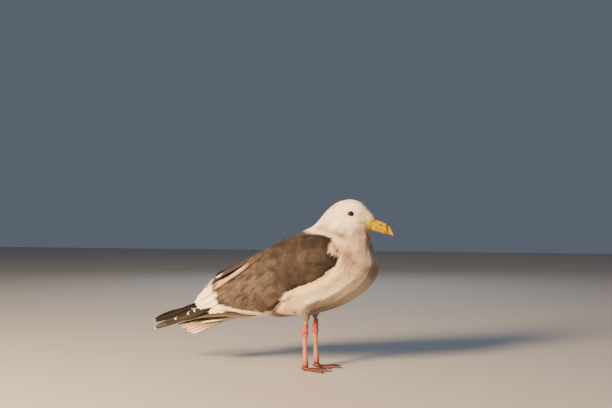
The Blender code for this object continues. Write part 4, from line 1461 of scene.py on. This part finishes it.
class GullQuills(bpy.types.Operator):
    """Dark, white-tipped primaries and white tail feathers, each with its shaft"""
    bl_idname = "object.gull_quills"
    bl_label = "Wing and tail quills"

    def execute(self, context):
        white = look("white")
        dark = look("quill")
        pale = white * np.array([0.62, 0.53, 0.47])     # painted shade: the tail's white darkened and warmed, as in shadow
        for side, sign in SIDES.items():
            for number in range(6, 11):
                # Painted light and shade: the outer primaries lighter, as lit, the inner ones
                # darker, as in shade.
                self.quill(f"primary_{side}_{number}", dark * (1.0 + 0.10 * (number - 8)),
                           white, 3.8, 0.4, "wing_tip_plumage", number, blunt=0.34)
            for number, wear in enumerate(TAIL_WEAR, 1):
                self.quill(f"rectrix_{side}_{number}", pale, pale * 1.12, 9.0, 0.25,
                           "tail_plumage", 20 + number, wear + 1.5 * (side == "left"),
                           painted_root_shade=0.34)
            # The left wing's lower rear is folded higher and nearer the tail's middle.
            lift = np.array([-9.0, 0.0, 16.0]) if sign > 0 else np.zeros(3)
            flip = np.array([1.0, sign, 1.0])
            corners = OUTER_EDGE * flip
            corners = corners + lift * ramp(-corners[:, :1], 150, 230)
            line, t = smooth_line(corners, QUILL_ROWS, 1.4)
            halves = np.maximum(vane_width(t, 0.26), 0.85 * (t < 0.5))
            halves = 9.6 * halves * (0.12 + 0.88 * ramp(t, 0.0, 0.12))
            # Painted light: the outermost primary's edge is the wing tip's dark made lighter,
            # as lit.
            self.vane(f"outer_primary_edge_{side}", line, (0.0, sign * 0.72, -0.69), halves,
                      0.5, dark * 2.2, white, 3.0, "wing_tip_plumage", 41)
            for i, ends in enumerate(WHITE_STREAKS):
                line, t = smooth_line(np.array(ends) * flip + lift * 0.8, 14, 1.2)
                self.vane(f"tertial_streak_{side}_{i}", line, (0.3, sign * 0.35, -0.88),
                          (3.2 - 0.5 * i) * vane_width(t, 0.3), 0.3, white, white, 2.0,
                          "wing_plumage", 43 + i)
            self.tail_coverts(side, sign, white)
        return {"FINISHED"}

    def tail_coverts(self, side, sign, white):
        """White feathers over and under the tail's root."""
        draw = np.random.default_rng(61 + int(sign))
        ways = (("upper", 5, 137.0, 1.0, 0.0), ("under", 5, 117.0, -1.0, 4.0))
        for name, count, z, flip, drop in ways:
            for i in range(count):
                y = 2.5 + 4.6 * i
                start = (-146 - 4 * i + draw.uniform(-3, 3), y * 0.9, z - 0.5 * i * flip)
                knee = (-188 - 4 * i, y, z - 12 - 0.4 * i * flip + drop * 0.4)
                end = (-232 - 5 * i + draw.uniform(-4, 4), y * 1.15,
                       z - 24 - 0.6 * i * flip + drop)
                line = np.array([start, knee, end]) * np.array([1.0, sign, 1.0])
                line, t = smooth_line(line, 14, 1.3)
                self.vane(f"{name}_tail_covert_{side}_{i}", line,
                          (0.0, sign * 0.97, -0.24),
                          7.2 * vane_width(t, 0.3), 0.6, white * 0.98, white, 3.0,
                          "body_plumage", 70 + i)

    @staticmethod
    def vane(name, line, way, halves, camber, colour, tip_colour, tip, slot, seed):
        """A single quill along its own line; way is the way across it."""
        grid, normals, flat = strap(line, way, halves, camber)
        length = flat[-1, 0, 1]
        colours = GullQuills.coloured(flat, length, colour, tip_colour, tip, seed)
        plumage = KEPT["plumage"]
        _, _, places = plumage.nearest(grid[2:3, 3])
        uv = root_patches(places, 1, *grid.shape[:2], LONG_PATCH)
        material = quill_material() if slot != "body_plumage" else coat_material()
        obj = vane_object(name, grid[None], normals[None], 0.35, material, colours[None],
                          uv, flat[None])
        finish_piece(obj)

    @staticmethod
    def coloured(flat, length, colour, tip_colour, tip, seed):
        """A quill's colours: a dark shaft, one web paler, partly its own paler web and partly
        painted light, painted shade towards the root, and a tip of its own colour.
        """
        draw = np.random.default_rng(seed)
        from_tip = length - flat[..., 1] + draw.uniform(-0.5, 0.5)
        rim = np.abs(flat[..., 0])
        share = 1 - ramp(from_tip - 0.55 * rim, tip - 1.6, tip + 0.6)
        # Partly painted light: one web paler than the other, as lit, beside a dark shaft.
        shaded = colour * (0.85 + 0.9 * ramp(flat[..., :1], -2, 7)
                           - 0.25 * np.exp(-(flat[..., :1] / 1.0) ** 2))
        # Painted shade: darker towards the root, under the feathers above.
        shaded = shaded * (0.35 + 0.65 * ramp(flat[..., 1:2], 4, 20))
        return mix(np.broadcast_to(shaded, (*share.shape, 3)), tip_colour, share)

    @staticmethod
    def quill(node, colour, tip_colour, tip, camber, slot, seed, wear=0.0, blunt=0.16,
              painted_root_shade=1.0):
        """A quill in place of its blade node. wear is how many mm its end has lost; the last
        argument is the share of its colour that is left towards its root, as painted shade."""
        grid, normals, flat, t, length = blade_grid(node, camber, blunt)
        if wear:
            # A worn end: the last rows are drawn in along the vane, unevenly across it.
            draw = np.random.default_rng(seed)
            back = unit(grid[QUILL_ROWS // 2] - grid[-1])[None]
            lost = wear * ramp(t, 0.75, 1.0)[:, None] * draw.uniform(
                0.5, 1.2, QUILL_COLUMNS)[None]
            grid = grid + back * lost[..., None]
        colours = GullQuills.coloured(flat, length, colour, tip_colour, tip, seed)
        # Painted shade: darker towards the root, where other feathers lie over it.
        colours = colours * (painted_root_shade + (1 - painted_root_shade) * ramp(flat[..., 1:2], length - 62, length - 8))
        shaft = np.exp(-(flat[..., 0] / 0.9) ** 2)
        grid = grid + normals * (0.35 * shaft * (1 - 0.7 * t[:, None]))[..., None]
        uv = np.stack([0.5 + flat[..., 0] / 60, 0.02 + 0.96 * flat[..., 1] / length], -1)
        obj = vane_object(node + "_vane", grid[None], normals[None], 0.4,
                          quill_material(), colours[None], uv[None], flat[None])
        finish_piece(obj, [node])


class GullBill(bpy.types.Operator):
    """The bill's two halves, with nostrils, hooked tip and red spot"""
    bl_idname = "object.gull_bill"
    bl_label = "Bill"

    def execute(self, context):
        # Grown horn, worn smooth by use: satin, with faint growth grain along it.
        horn = grained_material("grown bill horn", 0.42, 1.6, 0.93, 1.05, 0.15,
                                Specular_IOR_Level=0.08)
        for half in ("upper", "lower"):
            node = f"bill_{half}"
            obj, points = melted(f"{node}_horn", [node], 0.45, 14)
            move_points(obj.data,
                        points - normals_of(obj.data) * self.hollows(points)[:, None])
            dress(obj, self.colours(points), horn, [node])
        for side, sign in SIDES.items():
            self.gape(side, sign, horn)
        return {"FINISHED"}

    @staticmethod
    def above_slit(points):
        """Height over the nostril's line, which slopes down towards the bill's tip."""
        return points[:, 2] - NOSTRIL[1] + 0.12 * (points[:, 0] - 160)

    @staticmethod
    def nostril(points, high):
        """1 in the nostril's long slit, fading out at about high mm from its line."""
        return np.exp(-((points[:, 0] - NOSTRIL[0]) / 4.6) ** 4
                      - (GullBill.above_slit(points) / high) ** 2)

    @staticmethod
    def hollows(points):
        """How far the surface is sunk at the nostril and the groove that leads to it."""
        groove = np.exp(-((points[:, 0] - 151) / 10) ** 2
                        - ((GullBill.above_slit(points) - 0.6) / 2.4) ** 2)
        sunk = 1.5 * GullBill.nostril(points, 1.1) + 0.5 * groove
        return sunk * (np.abs(points[:, 1]) > 2.0)

    @staticmethod
    def colours(points):
        """Yellow with a paler ridge, horn-coloured tip, red spot and dark bar."""
        x, _, z = points.T
        yellow = look("bill")
        streak = cloudy(points * np.array([0.22, 1.0, 1.0]), 1.5)
        colour = yellow * (0.86 + 0.28 * streak)[:, None]
        ridge = ramp(z - (336 - 0.30 * (x - 145)), -3.5, -0.5)
        colour = mix(colour, yellow * np.array([1.25, 1.35, 1.0]), 0.6 * ridge)
        colour = towards(colour, "#A68619", 0.6 * ramp(x, 174, 182))
        colour = towards(colour, "#B8A585", 0.85 * ramp(x + 0.35 * (312 - z), 181, 187))
        spot = blob(points, (171.0, 307.0), (5.6, 3.0))
        colour = towards(colour, "#AA420D", ramp(spot, 0.22, 0.72))
        bar = np.exp(-((x - 173.4 - 0.10 * (318 - z)) / 1.7) ** 4) * ramp(z, 308, 311) * (
            1 - ramp(z, 322, 327))
        colour = towards(colour, "#1C0B06", 0.97 * bar)
        slit = np.clip(1.3 * GullBill.nostril(points, 0.95), 0, 1)
        return towards(colour, "#22140A", slit)

    @staticmethod
    def gape_width(x, z, share, sign):
        """How far out plumage or horn reaches at places in the side view, smoothed."""
        starts = np.stack([x, np.full_like(x, sign * 90.0), z], axis=-1).reshape(-1, 3)
        ways = np.tile([0.0, -sign, 0.0], (len(starts), 1))
        points, _, places = KEPT["plumage"].from_outside(starts, ways)
        width = np.nan_to_num(sign * points[:, 1], nan=-1.0)
        for node in ("bill_upper", "bill_lower"):
            mesh = bpy.data.objects[f"{node}_horn"].data
            tree = BVHTree.FromPolygons(points_of(mesh).tolist(),
                                        [tuple(face.vertices) for face in mesh.polygons])
            for i, start in enumerate(starts.tolist()):
                spot = tree.ray_cast(start, (0.0, -sign, 0.0))[0]
                if spot is not None:
                    width[i] = max(width[i], sign * spot[1])
        width = width.reshape(x.shape)
        for row in width:
            found = row > 0
            row[:] = np.interp(share, share[found], row[found])
        for _ in range(3):
            width[1:-1] = (width[:-2] + 2 * width[1:-1] + width[2:]) / 4
            width[:, 1:-1] = (width[:, :-2] + 2 * width[:, 1:-1] + width[:, 2:]) / 4
        return width, places[0]

    @staticmethod
    def gape(side, sign, horn):
        """Bare yellow skin that runs back from the bill's corner into the face."""
        rows, columns = 23, 9
        x = np.linspace(GAPE[0, 0], GAPE[-1, 0], rows)
        upper = np.interp(x, GAPE[:, 0], GAPE[:, 1])
        lower = np.interp(x, GAPE[:, 0], GAPE[:, 2])
        share = np.linspace(0, 1, columns)
        z = lower[:, None] + (upper - lower)[:, None] * share
        x = np.repeat(x[:, None], columns, axis=1)
        width, place = GullBill.gape_width(x, z, share, sign)
        line = np.interp(x, [125, 131, 137, 148], [327.8, 324.8, 321.5, 318.2])
        crease = np.exp(-((z - line) / 0.8) ** 2)
        # Fleshiest in its middle, and flush with the horn at its front.
        bulge = 0.5 * np.sin(np.pi * share)[None, :] * ramp(x, 125, 131)
        bulge = bulge * (1 - 0.9 * ramp(x, 140, 147)) + 0.12 + 0.23 * (1 - ramp(x, 134, 147))
        grid = np.stack([x, sign * (width + bulge - 0.55 * crease), z], axis=-1)
        along, across = np.gradient(grid, axis=0), np.gradient(grid, axis=1)
        normals = unit(np.cross(along, across))
        normals = normals * np.where(sign * normals[..., 1:2] < 0, -1.0, 1.0)
        yellow = look("bill") * 1.75
        colours = np.tile(yellow, (rows, columns, 1))
        colours = towards(colours, "#AA5919", 0.7 * crease)
        obj = vane_object(f"gape_skin_{side}", grid[None], normals[None], 0.5, horn,
                          colours[None], np.tile(place, (1, rows, columns, 1)),
                          np.stack([x, z], axis=-1)[None])
        finish_piece(obj)


class GullEyes(bpy.types.Operator):
    """Dark brown eyes in fleshy rings"""
    bl_idname = "object.gull_eyes"
    bl_label = "Eyes"

    def execute(self, context):
        # A moist cornea over a deep brown iris: almost black, with a small highlight.
        wet, tree, shader = new_material("moist dark eye", 0.28, Specular_IOR_Level=0.12)
        mark = add_node(tree, "ShaderNodeAttribute", attribute_name="markings")
        tree.links.new(mark.outputs["Color"], shader.inputs["Base Color"])
        # Bare skin round the eye: dull, finely creased.
        bare = grained_material("bare orbital skin", 0.55, 0.8, 0.85, 1.05, 0.3)
        for side, sign in SIDES.items():
            self.ball(side, sign, wet)
            self.ring(side, sign, bare)
        return {"FINISHED"}

    @staticmethod
    def turned_out(name, add, place, **sizes):
        """A round mesh whose axis runs across the head, with its points."""
        bpy.ops.object.select_all(action="DESELECT")
        add(location=framed(place), rotation=(math.radians(90), 0, 0), **sizes)
        made = bpy.context.object
        made.name = name
        bpy.ops.object.transform_apply(location=True, rotation=True, scale=True)
        return made, points_of(made.data)

    @staticmethod
    def ball(side, sign, wet):
        """The eyeball, with its iris and pupil."""
        eye, points = GullEyes.turned_out(
            f"eyeball_{side}", bpy.ops.mesh.primitive_uv_sphere_add,
            EYE_AT * np.array([1, sign, 1]), segments=48, ring_count=32,
            radius=EYE_RADIUS * MM)
        away = np.hypot(points[:, 0] - EYE_AT[0], points[:, 2] - EYE_AT[2])
        brown = linear("#2E1409") * (0.8 + 0.5 * cloudy(points, 0.8))[:, None]
        colours = towards(brown, "#050302", 1 - ramp(away, 2.5, 3.1))
        dress(eye, colours, wet, [f"eye_{side}"])

    @staticmethod
    def ring(side, sign, bare):
        """The lids' rim, shaped to the opening and laid on the eyeball."""
        spot = (EYE_AT + np.array([0, EYE_RING[1], 0])) * np.array([1, sign, 1])
        lid, points = GullEyes.turned_out(
            f"eye_ring_{side}", bpy.ops.mesh.primitive_torus_add, spot, major_segments=72,
            minor_segments=14, major_radius=EYE_RING[0] * MM,
            minor_radius=EYE_RING_THICK * MM)
        flat = points[:, [0, 2]] - EYE_AT[[0, 2]]
        round_at = np.hypot(flat[:, 0], flat[:, 1])
        # The lids narrow the opening from above and below, and draw out its corners.
        flat = flat * np.array(EYE_OVAL)
        points[:, 0] = EYE_AT[0] + flat[:, 0]
        points[:, 2] = EYE_AT[2] + flat[:, 1]
        ball = np.sqrt(np.clip((EYE_RADIUS + 0.1) ** 2 - np.hypot(*flat.T) ** 2, 1, None))
        at_ring = math.sqrt((EYE_RADIUS + 0.1) ** 2 - EYE_RING[0] ** 2)
        points[:, 1] += sign * np.clip(ball - at_ring, 0, 1.1)
        move_points(lid.data, points)
        inner = 1 - ramp(round_at, EYE_RING[0] - 0.4, EYE_RING[0] + 0.4)
        dress(lid, towards(linear("#33201A"), "#140A06", inner), bare)


class GullLegs(bpy.types.Operator):
    """Scaly pink legs, webbed feet and dark claws"""
    bl_idname = "object.gull_legs"
    bl_label = "Legs and feet"

    def execute(self, context):
        # Soft scaly skin over bone: satin, a little translucent, with fine creases.
        scaly = grained_material("scaly leg skin", 0.5, 1.1, 0.88, 1.08, 0.35,
                                 Subsurface_Weight=0.08, Subsurface_Scale=0.002)
        # Horn worn on the ground: dark, a little glossier than the skin round it.
        dark = grained_material("claw horn", 0.35, 0.9, 0.85, 1.1, 0.2)
        for side in SIDES:
            nodes = [f"{part}_{side}" for part in ("shank", "tarsus", "foot")]
            leg, points = melted(f"leg_skin_{side}", nodes, 0.6, 8, grow=0.2)
            shaped = points + normals_of(leg.data) * self.scutes(points)[:, None]
            move_points(leg.data, self.above_floor(shaped))
            dress(leg, self.colours(points), scaly, nodes)
            for toe in ("inner", "middle", "outer"):
                node = f"claw_{toe}_{side}"
                claw, points = melted(node + "_horn", [node], 0.3, 6)
                move_points(claw.data, self.above_floor(points))
                dress(claw, np.tile(linear("#2B2320"), (len(points), 1)), dark,
                      [node])
        return {"FINISHED"}

    @staticmethod
    def above_floor(points):
        """The same points, with none below the floor."""
        return np.column_stack([points[:, :2], np.maximum(points[:, 2], 0.0)])

    @staticmethod
    def scutes(points):
        """Raised plates up the front of the tarsus, and knobs at the joints."""
        x, _, z = points.T
        shank = ramp(z, 12, 18) * (1 - ramp(z, 104, 110))
        rings = 1 - np.abs(((z / SCUTE) % 1.0) * 2 - 1) ** 4
        knobs = (cloudy(points, 4.0) - 0.42) * ramp(z, 70, 78) * (1 - ramp(z, 97, 106))
        grain = (cloudy(points, 1.9) - 0.5) * ramp(z, 66, 78) * (1 - ramp(z, 97, 106))
        swell = np.exp(-((z - 86) / 8.0) ** 2)
        foot = np.exp(-((z - 18) / 11.0) ** 2) * (np.abs(x) < 14)
        pads = (cloudy(points, 1.8) - 0.5) * (1 - ramp(z, 12, 16)) * ramp(z, 1.2, 2.4)
        return (0.22 * shank * (rings - 0.5) + 2.8 * knobs + 0.9 * grain + 0.9 * swell
                + 1.9 * foot + 0.45 * pads)

    @staticmethod
    def colours(points):
        """Mottled pink, redder at the joints, with creases; painted shade darkens the foot."""
        z = points[:, 2]
        red = linear("#9E423A")
        colour = look("leg") * (0.85 + 0.3 * cloudy(points, 3.0))[:, None]
        joint = np.exp(-((z - 94) / 18) ** 4) + np.exp(-((z - 12) / 13) ** 2)
        joint = joint * (0.55 + 0.8 * cloudy(points, 3.2))
        colour = mix(colour, red, np.clip(0.95 * joint, 0, 0.9))
        # Painted shade: the foot darkened, as it lies in shade.
        colour = towards(colour, "#522627", 0.9 * (1 - ramp(z, 9, 15)))
        creases = np.abs(((z / SCUTE) % 1.0) * 2 - 1) ** 6 * ramp(z, 14, 18)
        return mix(colour, red * 0.7, 0.30 * creases)


class GullStage(bpy.types.Operator):
    """Plain floor, soft lights and the camera"""
    bl_idname = "object.gull_stage"
    bl_label = "Stage"

    # Each soft round light: name, place, width in metres, power in watts, colour.
    LIGHTS = (("low_warm_key", (-1.16, -2.18, 1.28), 0.8, 300.0, "#FFDBAD"),
              ("cool_fill", (1.7, -1.2, 2.3), 2.2, 12.0, "#CEDAFF"),
              ("back_rim", (-0.6, 2.4, 1.6), 1.6, 18.0, "#D4E5FF"))
    AIM = Vector((0.02, 0.0, 0.22))         # where the lights point
    SKY = ("#CEDFF6", 0.17)                 # the room's own light and its strength
    TURN = math.radians(15)                 # how far ahead of square on the camera stands
    AWAY = 1.91                             # metres from the camera to the right ankle
    LEVEL = 348.0                           # the camera's height, at the eye
    LENS_SHIFT = (-0.00817, 0.01634)        # the view's middle, as shares of its width

    def execute(self, context):
        self.floor()
        for light in self.LIGHTS:
            self.light(*light)
        world = bpy.data.worlds.new("studio")
        world.use_nodes = True
        backdrop = world.node_tree.nodes["Background"]
        backdrop.inputs["Color"].default_value = (*linear(self.SKY[0]), 1.0)
        backdrop.inputs["Strength"].default_value = self.SKY[1]
        context.scene.world = world
        self.camera(context)
        return {"FINISHED"}

    @staticmethod
    def floor():
        """A level floor under the soles."""
        bpy.ops.object.select_all(action="DESELECT")
        bpy.ops.mesh.primitive_plane_add(size=12.0, location=(0.0, 0.0, 0.0))
        floor = bpy.context.object
        floor.name = "studio_floor"
        # Matt emulsion paint, rolled on: pale and even, with a faint mottle.
        matt, tree, shader = new_material("matt painted floor", 0.85)
        place = add_node(tree, "ShaderNodeTexCoord")
        mottle = add_node(tree, "ShaderNodeTexNoise", values={"Scale": 6.0},
                          links={"Vector": place.outputs["Object"]})
        tone = add_node(tree, "ShaderNodeMix", data_type="RGBA",
                        values={6: (*linear("#AFACA7"), 1), 7: (*linear("#B6B3AF"), 1)},
                        links={"Factor": mottle.outputs["Fac"]})
        tree.links.new(tone.outputs[2], shader.inputs["Base Color"])
        floor.data.materials.append(matt)

    @staticmethod
    def light(name, place, size, power, colour):
        """A soft round light that points at the bird."""
        lamp = bpy.data.lights.new(name, "AREA")
        lamp.shape = "DISK"
        lamp.size = size
        lamp.energy = power
        lamp.color = linear(colour)
        obj = bpy.data.objects.new(name, lamp)
        bpy.context.scene.collection.objects.link(obj)
        obj.location = place
        aim = GullStage.AIM - Vector(place)
        obj.rotation_euler = aim.to_track_quat("-Z", "Y").to_euler()

    @staticmethod
    def camera(context):
        """Level with the head, 15 degrees ahead of square on to the right side."""
        stage = GullStage
        lens = bpy.data.cameras.new("museum_camera")
        lens.lens = context.scene.gull_looks.lens
        lens.sensor_width = 36.0
        lens.shift_x, lens.shift_y = stage.LENS_SHIFT
        obj = bpy.data.objects.new("museum_camera", lens)
        context.scene.collection.objects.link(obj)
        target = Vector(framed(np.array([0.0, 0.0, stage.LEVEL])))
        way = Vector((math.sin(stage.TURN), -math.cos(stage.TURN), 0.0))
        obj.location = target + stage.AWAY * way
        obj.rotation_euler = (math.radians(90), 0.0, stage.TURN)
        context.scene.camera = obj


class GullPanel(bpy.types.Panel):
    """Lists the gull's pieces"""
    bl_idname = "VIEW3D_PT_gull"
    bl_label = "Standing Gull"
    bl_space_type = "VIEW_3D"
    bl_region_type = "UI"
    bl_category = "Gull"

    def draw(self, context):
        for field in ("white", "grey", "quill", "bill", "leg", "skin_voxel", "lens"):
            self.layout.prop(context.scene.gull_looks, field)
        for step in STEPS:
            self.layout.operator(step.bl_idname)


STEPS = (GullSkin, GullEyes, GullCoat, GullWings, GullQuills, GullBill, GullLegs, GullStage)
CLASSES = (GullLooks, *STEPS, GullPanel)


def register():
    """Adds the operators, the panel and the scene's looks."""
    for item in CLASSES:
        bpy.utils.register_class(item)
    bpy.types.Scene.gull_looks = bpy.props.PointerProperty(type=GullLooks)


def unregister():
    """Takes them away again."""
    del bpy.types.Scene.gull_looks
    for item in reversed(CLASSES):
        bpy.utils.unregister_class(item)


def main():
    """Builds every piece."""
    register()
    bpy.ops.object.gull_skin()
    bpy.ops.object.gull_eyes()
    bpy.ops.object.gull_coat()
    bpy.ops.object.gull_wings()
    bpy.ops.object.gull_quills()
    bpy.ops.object.gull_bill()
    bpy.ops.object.gull_legs()
    bpy.ops.object.gull_stage()


if __name__ == "__main__":
    main()
